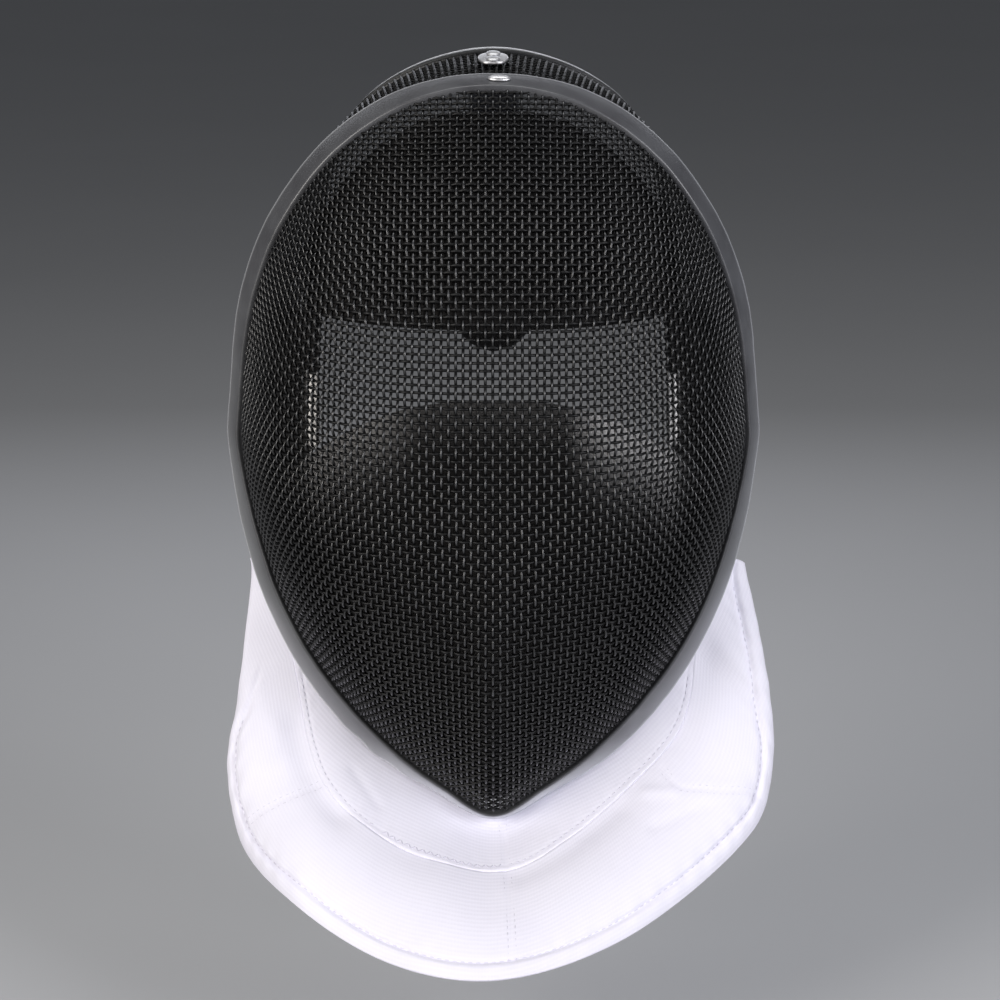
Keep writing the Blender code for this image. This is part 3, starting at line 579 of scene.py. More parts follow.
def settleNode(x, z, beside, under):
    # Newton: two distances fixed, gradient of the dome by differences, steps held under 1 mm
    tiny, most = 1e-6, 0.001
    for _ in range(7):
        y = domeDepth(x, z)
        slopeX = (domeDepth(x + tiny, z) - y) / tiny
        slopeZ = (domeDepth(x, z + tiny) - y) / tiny
        a = np.stack([x, y, z], -1) - beside
        b = np.stack([x, y, z], -1) - under
        missA = np.sum(a * a, -1) - wires["stepAcross"] ** 2
        missB = np.sum(b * b, -1) - wires["stepUp"] ** 2
        ax, az = 2 * (a[:, 0] + a[:, 1] * slopeX), 2 * (a[:, 2] + a[:, 1] * slopeZ)
        bx, bz = 2 * (b[:, 0] + b[:, 1] * slopeX), 2 * (b[:, 2] + b[:, 1] * slopeZ)
        size = ax * bz - az * bx
        size = np.where(np.abs(size) < 1e-9, 1e-9, size)
        stepX = np.clip((missA * bz - missB * az) / size, -most, most)
        stepZ = np.clip((ax * missB - bx * missA) / size, -most, most)
        x, z = x - stepX, z - stepZ
    return x, z


def halfSteps(values):
    # puts a mean between each pair of neighbours along axis 1
    doubled = np.empty((values.shape[0], 2 * values.shape[1] - 1) + values.shape[2:])
    doubled[:, ::2] = values
    doubled[:, 1::2] = (values[:, 1:] + values[:, :-1]) / 2
    return doubled


def wireTubes(name, spots, normals, share, sign, limit, node, material, fine=2, radius=None, lift=None, raised=0.0):
    # one tube a row: centre = spot + normal * lift * sign * cos(90 t), t = 0 at a crossing and 1 halfway to the
    # next, in `fine` lengths a step, cut where share = limit
    path, out, part = spots, normals, share
    for _ in range(fine // 2):
        path, out, part = halfSteps(path), unit(halfSteps(out)), halfSteps(part)
    over = np.zeros(path.shape[:2])
    over[:, ::fine] = sign
    if fine == 4:
        over[:, 1::4] = sign[:, :-1] * wires["quarterWave"]
        over[:, 3::4] = sign[:, 1:] * wires["quarterWave"]
    inside = part < limit
    for shift in (1, -1):  # the first point past the edge is drawn back onto it
        last = np.roll(inside, shift, axis=1)
        last[:, 0 if shift == 1 else -1] = False
        reach = last & ~inside & ~np.isnan(part)
        near = np.roll(path, shift, axis=1)
        nearPart = np.roll(part, shift, axis=1)
        t = (limit - nearPart) / np.maximum(part - nearPart, 1e-9)
        moved = near + (path - near) * np.clip(t, 0, 1)[..., None]
        path = np.where(reach[..., None], moved, path)
        part = np.where(reach, limit - 1e-9, part)
    inside = part < limit
    radius = radius or wires["radius"]
    lift = lift or wires["lift"]
    path = path + out * (over * lift + raised)[..., None]
    along = np.empty_like(path)
    along[:, 1:-1] = path[:, 2:] - path[:, :-2]
    along[:, 0], along[:, -1] = path[:, 1] - path[:, 0], path[:, -1] - path[:, -2]
    hasNext = np.roll(inside, -1, axis=1) & inside
    hasNext[:, -1] = False
    hasBefore = np.roll(inside, 1, axis=1) & inside
    hasBefore[:, 0] = False
    forward = np.roll(path, -1, axis=1) - path
    backward = path - np.roll(path, 1, axis=1)
    along = np.where((hasNext & ~hasBefore)[..., None], forward, along)
    along = np.where((hasBefore & ~hasNext)[..., None], backward, along)
    keep = inside & (hasNext | hasBefore)
    along = unit(along)
    up = unit(out - along * np.sum(out * along, -1, keepdims=True))
    side = np.cross(along, up)
    angles = np.arange(wires["sides"]) * 2 * np.pi / wires["sides"] + np.pi / 2
    ring = np.stack([np.cos(angles), np.sin(angles)], -1)
    index = np.full(keep.shape, -1)
    index[keep] = np.arange(np.count_nonzero(keep))
    centre, up, side, crest = path[keep], up[keep], side[keep], over[keep]
    points = centre[:, None] + radius * (side[:, None] * ring[None, :, :1] + up[:, None] * ring[None, :, 1:])
    # crest marks on the outer side of each over-crossing: wear and a painted highlight
    marks = np.clip(crest[:, None] * ring[None, :, 1], 0, 1)
    first = index[:, :-1][hasNext[:, :-1] & keep[:, :-1]]
    second = index[:, 1:][hasNext[:, :-1] & keep[:, :-1]]
    k = np.arange(wires["sides"])
    nextK = (k + 1) % wires["sides"]
    n = wires["sides"]
    quads = np.stack([
        first[:, None] * n + k, first[:, None] * n + nextK,
        second[:, None] * n + nextK, second[:, None] * n + k,
    ], -1).reshape(-1, 4)
    starts = index[keep & ~hasBefore]
    ends = index[keep & ~hasNext]
    caps = np.concatenate([starts[:, None] * n + k[::-1], ends[:, None] * n + k])
    return buildPiece(name, points.reshape(-1, 3), [quads, caps], material, (node,), None,
                      marks.ravel())


def netNormals(spots):
    # out of the net at each node, from its neighbours both ways
    across = np.gradient(spots, axis=0)
    upward = np.gradient(spots, axis=1)
    return unit(np.cross(across, upward))


def weaveFront():
    # wires both ways over the dome: over where i + j is even, under where it is odd
    spots = netOverDome()
    normals = netNormals(spots)
    middle = spots.shape[0] // 2, spots.shape[1] // 2
    normals *= -np.sign(normals[middle][1])
    share = domeShare(spots[..., 0], spots[..., 2])
    i = np.arange(spots.shape[0])[:, None]
    j = np.arange(spots.shape[1])[None]
    sign = np.where((i + j) % 2 == 0, 1.0, -1.0)
    left = slice(0, middle[0])
    right = slice(middle[0], None)
    low = slice(0, middle[1] - wires["splitRow"])
    high = slice(middle[1] - wires["splitRow"], None)
    for name, rows in (("uprightWiresRight", left), ("uprightWiresLeft", right)):
        wireTubes(name, spots[rows], normals[rows], share[rows], sign[rows], wires["hidden"], "front_mesh",
                  shinyWire, fine=4)
    turned = [a.swapaxes(0, 1) for a in (spots, normals, share, sign)]
    for name, rows in (("crossWiresLow", low), ("crossWiresHigh", high)):
        wireTubes(name, turned[0][rows], turned[1][rows], turned[2][rows], -turned[3][rows],
                  wires["hidden"], "front_mesh", dullWire)
    print("front weave:", int(np.count_nonzero(share < 1)), "crossings")


weaveFront()


# The side mesh, from the trim over the head to the rear rim

# the bead, low and chin marks are painted highlight on the trim, the slot marks painted shade
trimSizes = dict(
    width=0.0150, thick=0.0032, seat=0.0010, meshSeat=0.0002, gap=0.0003, crown=0.0004, bead=0.00045,
    waver=0.00018, swell=0.00016, ruffle=0.0006, ruffleTurn=-0.88, kink=0.0005, kinkTurn=0.503,
    dent=0.0013, dentTurn=0.822, beadPaintedHighlight=0.55, lowPaintedLight=0.30, chinPaintedLight=0.9, slotPaintedShade=0.35, slotPaintedShadeLow=0.9,
    lowTurn=0.30, lowEase=0.25, chinTurn=0.85, chinEase=0.10, beadHighlightAt=0.955, beadHighlightWide=0.045, slotShadeWide=0.036,
    girth=0.8, ruffleWide=0.055, ruffleRate=150, kinkWide=0.02, dentWide=0.009, sides=32, turns=541,
)
meshWall = 0.002


def rearRimAt(turn):
    # the rear edge: its table on both sides of the crown, turn 0 at the crown
    points = fromCrown(
        rearStations[:, 0] * mask["width"] / 2,
        rearStations[:, 2] * mask["rearDepth"],
        rearStations[:, 1] * mask["height"],
    )
    knots = chordKnots(points)
    allKnots = np.concatenate([-knots[3:0:-1], knots])
    allPoints = np.concatenate([points[3:0:-1] * flipSide, points])
    places = smoothTable(allKnots, allPoints, np.abs(turn))
    places[..., 0] *= np.where(turn < 0, -1.0, 1.0)
    return places


def sideSurface(turns, shares):
    # start + (end - start) s + outward * bulge * 4 s (1 - s), for shares of shape [rows, turns]
    edge, _, across, _ = trimFrame(turns * mask["jawTurn"])
    start = edge + across * (trimSizes["width"] + 2 * trimSizes["gap"] + trimSizes["meshSeat"])
    end = rearRimAt(turns)
    middle = np.array([0.0, 0.0, fromCrown(0.0, 0.0, mask["height"] * 0.45)[2]])
    reach = end - start
    spread = start + end - 2 * middle
    spread[..., 1] = 0
    size = np.linalg.norm(reach, axis=-1, keepdims=True)
    bulge = unit(spread) * mask["sideBulge"] * (size / mask["rearDepth"])
    rise = 4 * shares * (1 - shares)
    return start[None] + reach[None] * shares[..., None] + bulge[None] * rise[..., None]


def weaveSide():
    # crossings an even step apart from trim to rear rim, wires over and under by turns
    fine = np.linspace(-1, 1, 1201)
    run = runAlong(sideSurface(fine, 0 * fine[None] + 0.5)[0])
    count = int(run[-1] / wires["stepAcross"])
    turns = np.interp((np.arange(count + 1) + 0.5) * run[-1] / (count + 1), run, fine)
    ends = sideSurface(turns, np.stack([0 * turns, 0 * turns + 1]))
    width = np.linalg.norm(ends[1] - ends[0], axis=-1) * 1.01
    rows = int(np.max(width) / wires["stepUp"]) + 3
    share = (np.arange(rows)[:, None] - 0.35) * wires["stepUp"] / width[None]
    spots = sideSurface(turns, share)
    normals = netNormals(spots)
    normals *= np.sign(normals[rows // 3, count // 2, 2])
    i = np.arange(rows)[:, None]
    j = np.arange(count + 1)[None]
    sign = np.where((i + j) % 2 == 0, 1.0, -1.0)
    wireTubes("overheadWires", spots, normals, share, sign, wires["sideHidden"], "side_mesh", dullWire,
              radius=wires["overRadius"], lift=wires["overLift"], raised=-wires["overSunk"])
    turned = [a.swapaxes(0, 1) for a in (spots, normals, share, sign)]
    wireTubes("crownToRimWires", turned[0], turned[1], turned[2], -turned[3], wires["sideHidden"], "side_mesh",
              dullWire, radius=wires["ribRadius"], lift=wires["ribLift"], raised=wires["ribRaised"])
    print("side weave:", int(np.count_nonzero(share < 1)), "crossings")


weaveSide()


# The rubber trim round the face

def bandSection(sizes, sides):
    # a squared ellipse: (w/2 + w/2 |cos|^0.32, t/2 |sin|^0.5), its outer face crowned, with a bead on each edge
    width = sizes["width"]
    angle = np.linspace(0, 2 * np.pi, sides + 1)[:-1]
    c, s = np.cos(angle), np.sin(angle)
    a = width / 2 + width / 2 * np.sign(c) * np.abs(c) ** 0.32
    b = sizes["thick"] / 2 * np.sign(s) * np.abs(s) ** 0.5
    outer = np.clip(s * 3, 0, 1)
    b = b + outer * sizes["crown"] * np.sin(np.pi * a / width)
    beads = bump(a - width * 0.95, width * 0.05) + 0.5 * bump(a - width * 0.05, width * 0.05)
    b = b + outer * sizes["bead"] * beads
    return np.stack([a, b], -1)


def makeTrim():
    # the section swept round the edge, with wavers, a ruffle, a kink and a dent as soft bells
    turns = np.linspace(-1, 1, trimSizes["turns"])[:-1]
    edge, _, across, out = trimFrame(turns)
    section = bandSection(trimSizes, trimSizes["sides"]) + np.array([trimSizes["gap"], trimSizes["seat"]])
    rings = np.broadcast_to(section, (len(turns),) + section.shape).copy()
    share = section[:, 0] / trimSizes["width"]
    outer = section[:, 1] > trimSizes["seat"]
    length = turns * trimSizes["girth"]  # metres from the crown, near enough for a slow waver
    waver = trimSizes["waver"] * waves(length, 0 * turns, 5, 0.11)
    swell = trimSizes["swell"] * waves(length, 0 * turns, 9, 0.07)
    ruffle = trimSizes["ruffle"] * bump(turns - trimSizes["ruffleTurn"], trimSizes["ruffleWide"])
    ruffle = ruffle * np.sin(turns * trimSizes["ruffleRate"])
    kink = trimSizes["kink"] * bump(np.abs(turns) - trimSizes["kinkTurn"], trimSizes["kinkWide"])
    rings[..., 0] += (waver + ruffle)[:, None] * (share > 0.6)
    rings[..., 1] += (swell + kink)[:, None] * outer
    rings[..., 1] += (ruffle * 0.6)[:, None] * bump(share - 0.8, 0.3) * outer
    dent = bump(turns - trimSizes["dentTurn"], trimSizes["dentWide"])[:, None] * bump(share - 0.5, 0.25)[None]
    rings[..., 1] -= trimSizes["dent"] * dent * outer
    # painted light: a painted highlight on the outer bead, paler down the sides and palest round the chin; painted
    # shade in the wires' slot
    low = np.clip((np.abs(turns) - trimSizes["lowTurn"]) / trimSizes["lowEase"], 0, 1)[:, None]
    chin = np.clip((np.abs(turns) - trimSizes["chinTurn"]) / trimSizes["chinEase"], 0, 1)[:, None]
    rubAndPaintedLight = trimSizes["beadPaintedHighlight"] * bump(share - trimSizes["beadHighlightAt"], trimSizes["beadHighlightWide"]) * outer
    rubAndPaintedLight = rubAndPaintedLight + trimSizes["lowPaintedLight"] * low * outer * share
    rubAndPaintedLight = rubAndPaintedLight + trimSizes["chinPaintedLight"] * chin * outer * np.clip((share - 0.12) / 0.15, 0, 1)
    # painted shade along the slot where the trim grips the wires, darker down the sides
    slotShade = bump(share, trimSizes["slotShadeWide"]) * outer
    rubAndPaintedLight = rubAndPaintedLight - (trimSizes["slotPaintedShade"] + trimSizes["slotPaintedShadeLow"] * low) * slotShade
    return sweepPiece("faceTrim", edge, across, out, rings, trimRubber, ("front_trim",), closed=True,
                      marks=rubAndPaintedLight)


makeTrim()


# The piping round the back

piping = dict(
    width=0.0075, thick=0.0045, crown=0.0004, bead=0.0003, girth=0.024, blackShare=0.42, blackEase=0.08, sides=24,
)


def makePiping():
    # the section swept along the rear rim, lying in the side mesh's own direction
    turns = np.linspace(-1, 1, 301)
    shares = np.stack([0 * turns + 0.9, 0 * turns + 1.0])
    grid = sideSurface(turns, shares)
    along = unit(np.gradient(grid[1], axis=0))
    across = unit(grid[1] - grid[0])
    out = unit(np.cross(along, across))
    out *= np.sign(out[len(turns) // 2, 2])
    across = unit(across - along * np.sum(across * along, -1, keepdims=True))
    section = bandSection(piping, piping["sides"]) + np.array([trimSizes["gap"], 0.0])
    # its front part is bound in black
    front = np.clip((piping["blackShare"] - section[:, 0] / piping["width"]) / piping["blackEase"], 0, 1)
    return sweepPiece("rearPiping", grid[1], across, out, section, pipingTape,
                      ("rear_trim",), closed=False, uvScale=piping["girth"], marks=front[None] + 0 * turns[:, None])


makePiping()
print("trim and piping made")


# The bib

bib = dict(
    width=0.231, drop=0.353, reach=0.066, wall=0.003, fullness=0.007, hemThick=0.0046,
    seat=0.95, seamEnd=0.72, yokeTip=0.008, hemWide=0.007, dip=0.0075, dipDeep=0.0003,
    yokeColumns=261, yokeRows=46, skirtColumns=341, skirtRows=36, hemRows=40, hemFrom=0.78,
    yokeSway=0.0004, skirtSway=0.0010, lip=0.0001, stitchGroove=0.00018, pucker=0.00010,
    hemGroove=0.0012, hemPucker=0.00022, rollStart=-0.80, rollEase=0.10, roundYoke=0.0004, roundSkirt=0.0005,
    seamDeep=0.0003, seamWide=0.0008, seamRise=0.0001, seamSide=0.0030, seamSideWide=0.0022,
    lipWide=0.0030, stitchGrooveWide=0.0007, puckerWide=0.004, hemGrooveWide=0.0010, hemPuckerWide=0.0045,
)
stitches = dict(
    thread=0.00022, fromEdge=0.0022, seamPitch=0.0030, seamLength=0.0019, zigzagPitch=0.0017, zigzagSwing=0.0011,
    zigzagFrom=-0.27, zigzagTo=0.02, twinPitch=0.0028, twinLength=0.0018, twinShift=0.0016,
    hemPitch=0.0032, hemLength=0.0021, hemFrom=-0.72, hemTo=0.95, yokeTo=0.66, yokeSeamTo=0.37, skirtSeamFrom=0.43,
)
# run along the hem, then across, down and ahead as shares of half width, drop and reach
hemStations = np.array([
    (-1.00, -0.855, 0.592, -0.46),
    (-0.90, -0.893, 0.680, -0.36),
    (-0.80, -0.925, 0.770, -0.27),
    (-0.70, -0.958, 0.822, -0.14),
    (-0.58, -0.912, 0.885, 0.16),
    (-0.40, -0.700, 0.932, 0.66),
    (-0.20, -0.370, 0.985, 0.91),
    (0.00, 0.000, 1.000, 1.00),
    (0.22, 0.440, 0.968, 0.80),
    (0.46, 0.880, 0.893, 0.23),
    (0.62, 0.990, 0.851, -0.03),
    (0.72, 1.016, 0.804, -0.18),
    (0.82, 1.000, 0.750, -0.28),
    (0.92, 0.955, 0.660, -0.42),
    (1.00, 0.905, 0.584, -0.48),
])
# place along the hem, then how far down the bib the yoke's seam lies
seamStations = np.array([
    (-0.720, 0.000),
    (-0.650, 0.085),
    (-0.575, 0.180),
    (-0.508, 0.263),
    (-0.440, 0.340),
    (-0.360, 0.390),
    (-0.270, 0.422),
    (-0.180, 0.434),
    (-0.090, 0.420),
    (0.000, 0.405),
    (0.090, 0.392),
    (0.180, 0.343),
    (0.270, 0.290),
    (0.360, 0.250),
    (0.450, 0.230),
    (0.530, 0.206),
    (0.620, 0.140),
    (0.680, 0.065),
    (0.720, 0.000),
])


def hemAt(run):
    # the hem: its table as lengths, run -1 to 1 from the wearer's right to left
    points = fromCrown(
        hemStations[:, 1] * bib["width"] / 2, -hemStations[:, 3] * bib["reach"], hemStations[:, 2] * bib["drop"]
    )
    return smoothTable(hemStations[:, 0], points, run)


def bibAt(run, share):
    # top + (hem - top) s + face * fullness * 6.75 s^2 (1 - s)
    turn = np.where(run < 0, -1.0, 1.0) * (1 - np.abs(run) * (1 - mask["bibTurn"]))
    edge, _, across, _ = trimFrame(turn)
    top = edge + across * (trimSizes["width"] + 2 * trimSizes["gap"] + bib["wall"] * bib["seat"])
    reach = hemAt(run) - top
    swell = bib["fullness"] * np.minimum(1.0, np.linalg.norm(reach, axis=-1) / bib["reach"])
    lean = run * np.pi / 2
    face = np.stack([np.sin(lean), -0.6 * np.cos(lean), 0.8 * np.cos(lean)], axis=-1)
    rise = swell * 6.75 * share**2 * (1 - share)
    return top + reach * share[..., None] + face * rise[..., None]


def seamShareAt(run):
    # the seam's table inside the yoke's ends, 0 past them
    share = smoothTable(seamStations[:, 0], seamStations[:, 1:], np.clip(run, -bib["seamEnd"], bib["seamEnd"]))
    return np.where(np.abs(run) < bib["seamEnd"], share[..., 0], 0.0)


def bibGrid(run, low, high, steps):
    # places low + (high - low) step down the bib, with normals to the front
    shares = low[None] + (high - low)[None] * steps[:, None]
    runs = run[None] + 0 * shares
    grid = bibAt(runs, shares)
    normals = gridNormals(grid)
    normals *= np.sign(-normals[len(steps) // 2, len(run) // 2, 1])
    return grid, normals


def clothMap(grid):
    # lengths along the middle row and down each column, in metres
    steps = np.linalg.norm(np.diff(grid, axis=1), axis=-1).mean(axis=0)
    along = np.concatenate([[0], np.cumsum(steps)])
    drops = np.linalg.norm(np.diff(grid, axis=0), axis=-1)
    down = np.concatenate([np.zeros((1, grid.shape[1])), np.cumsum(drops, axis=0)])
    return np.stack(np.broadcast_arrays(along[None], down), -1)


def nearestTo(points, line):
    # distance to the nearest point of a dense line: sqrt(|p|^2 + |q|^2 - 2 p.q)
    flat = points.reshape(-1, 3)
    square = np.sum(flat**2, -1)[:, None] + np.sum(line**2, -1)[None] - 2 * flat @ line.T
    return np.sqrt(np.maximum(square.min(axis=1), 0)).reshape(points.shape[:-1])


def lineOnBib(places, count=160):
    # a smooth line through (run, share) places, as places and as points on the bib
    rows = np.array(places)
    at = smoothTable(chordKnots(rows), rows, np.linspace(0, 1, count))
    return at, bibAt(at[:, 0], at[:, 1])


# how far out (+) or in (-) the cloth goes, how wide, and where, as (run, share) places
bibFolds = [
    (-0.0008, 0.0085, [(-0.770, 0.318), (-0.690, 0.270), (-0.573, 0.270), (-0.483, 0.348)]),
    (0.0006, 0.0060, [(-0.760, 0.460), (-0.660, 0.400), (-0.560, 0.420)]),
    (-0.0004, 0.0026, [(-0.392, 0.180), (-0.338, 0.228), (-0.295, 0.275)]),
    (-0.0010, 0.0110, [(0.725, 0.060), (0.705, 0.220), (0.700, 0.372)]),
    (-0.0008, 0.0075, [(0.518, 0.265), (0.637, 0.215), (0.725, 0.120)]),
    (0.0007, 0.0050, [(0.800, 0.150), (0.790, 0.350), (0.780, 0.600)]),
    (0.0007, 0.0028, [(0.365, 0.360), (0.400, 0.453)]),
    (-0.0005, 0.0032, [(0.333, 0.568), (0.383, 0.610), (0.433, 0.655)]),
    (-0.0014, 0.0060, [(-0.590, 0.250), (-0.508, 0.335), (-0.440, 0.405), (-0.370, 0.445)]),
    (-0.0012, 0.0065, [(0.050, 0.450), (0.130, 0.425), (0.210, 0.375), (0.290, 0.335)]),
    (-0.0006, 0.0055, [(-0.700, 0.560), (-0.640, 0.480), (-0.590, 0.420)]),
]
bibSeams = [
    [(0.018, 0.043), (0.025, 0.383), (0.032, 0.743), (0.035, 0.953)],
    [(-0.438, 0.348), (-0.470, 0.485), (-0.508, 0.645), (-0.550, 0.840), (-0.570, 0.950)],
    [(0.423, 0.300), (0.423, 0.482), (0.450, 0.560), (0.485, 0.655), (0.550, 0.795), (0.590, 0.940)],
]


def foldRelief(grid):
    # folds and felled seams: the sum of depth * exp(-(distance / width)^2)
    relief = 0.0
    for depth, width, places in bibFolds:
        relief = relief + depth * bump(nearestTo(grid, lineOnBib(places)[1]), width)
    for places in bibSeams:
        off = nearestTo(grid, lineOnBib(places, 240)[1])
        relief = relief - bib["seamDeep"] * bump(off, bib["seamWide"])
        relief = relief + bib["seamRise"] * bump(off - bib["seamSide"], bib["seamSideWide"])
    return relief


def seamLine(count=420):
    # the yoke's seam as points
    run = np.linspace(-bib["seamEnd"], bib["seamEnd"], count)
    return bibAt(run, seamShareAt(run))


def sampleGrid(grid, row, column):
    # bilinear: the four neighbours, each by how near it is
    row = np.clip(row, 0, grid.shape[0] - 1.001)
    column = np.clip(column, 0, grid.shape[1] - 1.001)
    r, c = row.astype(int), column.astype(int)
    down, right = (row - r)[:, None], (column - c)[:, None]
    return (
        grid[r, c] * (1 - down) * (1 - right) + grid[r + 1, c] * down * (1 - right)
        + grid[r, c + 1] * (1 - down) * right + grid[r + 1, c + 1] * down * right
    )


def threadLoops(starts, ends, normals):
    # one thread loop a stitch: start + (end - start) t + normal * radius * rise, a ring of 5 at each of 5 places
    radius = stitches["thread"]
    t = np.array([0.0, 0.14, 0.5, 0.86, 1.0])
    rise = np.array([-1.2, 0.2, 0.6, 0.2, -1.2])
    thick = np.array([0.4, 0.9, 1.0, 0.9, 0.4])
    side = np.cross(unit(ends - starts), normals)
    centre = (
        starts[:, None] + (ends - starts)[:, None] * t[None, :, None]
        + normals[:, None] * (radius * rise)[None, :, None]
    )
    angle = np.arange(5) * 2 * np.pi / 5
    ring = side[:, None] * np.cos(angle)[None, :, None] + normals[:, None] * np.sin(angle)[None, :, None]
    points = centre[:, :, None] + ring[:, None] * (radius * thick)[None, :, None, None]
    base = np.arange(len(starts))[:, None, None] * 25
    quads = (gridFaces(5, 5, wrapColumns=True)[None] + base).reshape(-1, 4)
    k = np.arange(5)
    caps = np.concatenate([base[:, 0] + k, base[:, 0] + 20 + k[::-1]])
    return points.reshape(-1, 3), quads, caps


def straightStitches(path, normals, pitch, length, shift=0.0):
    # stitches of one length, one a pitch, moved sideways off the path by shift
    path = path + np.cross(unit(np.gradient(path, axis=0)), normals) * shift
    run = runAlong(path)
    at = np.arange(pitch / 2, run[-1] - length, pitch)
    return rowsAt(at, run, path), rowsAt(at + length, run, path), unit(rowsAt(at, run, normals))


def zigzagStitches(path, normals, pitch, swing):
    # stitches between points that lie swing to one side and then to the other
    sideways = np.cross(unit(np.gradient(path, axis=0)), normals)
    run = runAlong(path)
    at = np.arange(pitch / 2, run[-1], pitch)
    facing = unit(rowsAt(at, run, normals))
    turn = np.where(np.arange(len(at)) % 2 == 0, swing, -swing)
    places = rowsAt(at, run, path) + rowsAt(at, run, sideways) * turn[:, None]
    return places[:-1], places[1:], facing[:-1]


def stitchPiece(name, rows):
    # all rows of stitches as one piece
    starts, ends, facing = (np.concatenate([row[k] for row in rows]) for k in range(3))
    points, quads, caps = threadLoops(starts, ends, facing)
    return buildPiece(name, points, [quads, caps], sewingThread)


def twinStitches(outer, face, run, edges, steps, places):
    # two rows of stitches, one on each side of a felled seam
    path, facing = onCloth(outer, face, run, edges, steps, places)
    return [straightStitches(path, facing, stitches["twinPitch"], stitches["twinLength"], shift)
            for shift in (-stitches["twinShift"], stitches["twinShift"])]


def onCloth(outer, normals, run, edges, steps, at):
    # (run, share) places as points and normals of the finished outer face
    column = np.interp(at[:, 0], run, np.arange(len(run)))
    lowAt = np.interp(at[:, 0], run, edges[0])
    highAt = np.interp(at[:, 0], run, edges[1])
    row = np.interp((at[:, 1] - lowAt) / np.maximum(highAt - lowAt, 1e-6), steps, np.arange(len(steps)))
    return sampleGrid(outer, row, column), unit(sampleGrid(normals, row, column))


def makeYoke():
    # cloth with a front of grid + normal * (wall / 2 + relief) and a back of grid - normal * wall / 2
    run = np.linspace(-bib["seamEnd"], bib["seamEnd"], bib["yokeColumns"])
    steps = np.linspace(0, 1, bib["yokeRows"])
    seam = np.maximum(seamShareAt(run), bib["yokeTip"])
    grid, normals = bibGrid(run, 0 * run, seam, steps)
    uv = clothMap(grid)
    toSeam = nearestTo(grid, seamLine())
    a, b = uv[..., 0], uv[..., 1]
    relief = bib["yokeSway"] * waves(a, b, 21, 0.08) * np.clip(toSeam / 0.01, 0, 1) + foldRelief(grid)
    # the lower edge is turned under and meets the skirt, drawn in along its stitches
    relief = relief + bib["lip"] * bump(toSeam, bib["lipWide"])
    relief = relief - bib["stitchGroove"] * bump(toSeam - stitches["fromEdge"], bib["stitchGrooveWide"])
    pucker = np.sin(a * 900 + 3 * waves(a, 0 * a, 4, 0.1))
    relief = relief + bib["pucker"] * pucker * bump(toSeam - 0.002, bib["puckerWide"])
    outer = grid + normals * (bib["wall"] / 2 + relief)[..., None]
    inner = grid - normals * (bib["wall"] / 2)
    piece = shellPiece("bibYoke", outer, inner, bibCloth, ("bib_yoke",), uv,
                       rounded=bib["roundYoke"])
    face = gridNormals(outer)
    face *= np.sign(-face[len(steps) // 2, len(run) // 2, 1])
    length = np.linalg.norm(grid[-1] - grid[0], axis=-1)
    level = np.clip(1 - stitches["fromEdge"] / np.maximum(length, 0.003), 0, 1)
    row = np.interp(level, steps, np.arange(len(steps)))
    columns = np.arange(len(run)).astype(float)

    def edgePath(part):
        # the line of stitches beside the lower edge
        return sampleGrid(outer, row[part], columns[part]), unit(sampleGrid(face, row[part], columns[part]))

    start, end = stitches["zigzagFrom"], stitches["zigzagTo"]
    rows = [
        straightStitches(*edgePath(part), stitches["seamPitch"], stitches["seamLength"])
        for part in ((run > end) & (run < stitches["yokeTo"]), (run > -stitches["yokeTo"]) & (run < start))
    ]
    swinging = (run >= start) & (run <= end)
    rows.append(zigzagStitches(*edgePath(swinging), stitches["zigzagPitch"], stitches["zigzagSwing"]))
    places = lineOnBib(bibSeams[0], 240)[0]
    rows += twinStitches(outer, face, run, (0 * run, seam), steps, places[places[:, 1] < stitches["yokeSeamTo"]])
    thread = stitchPiece("yokeStitches", rows)


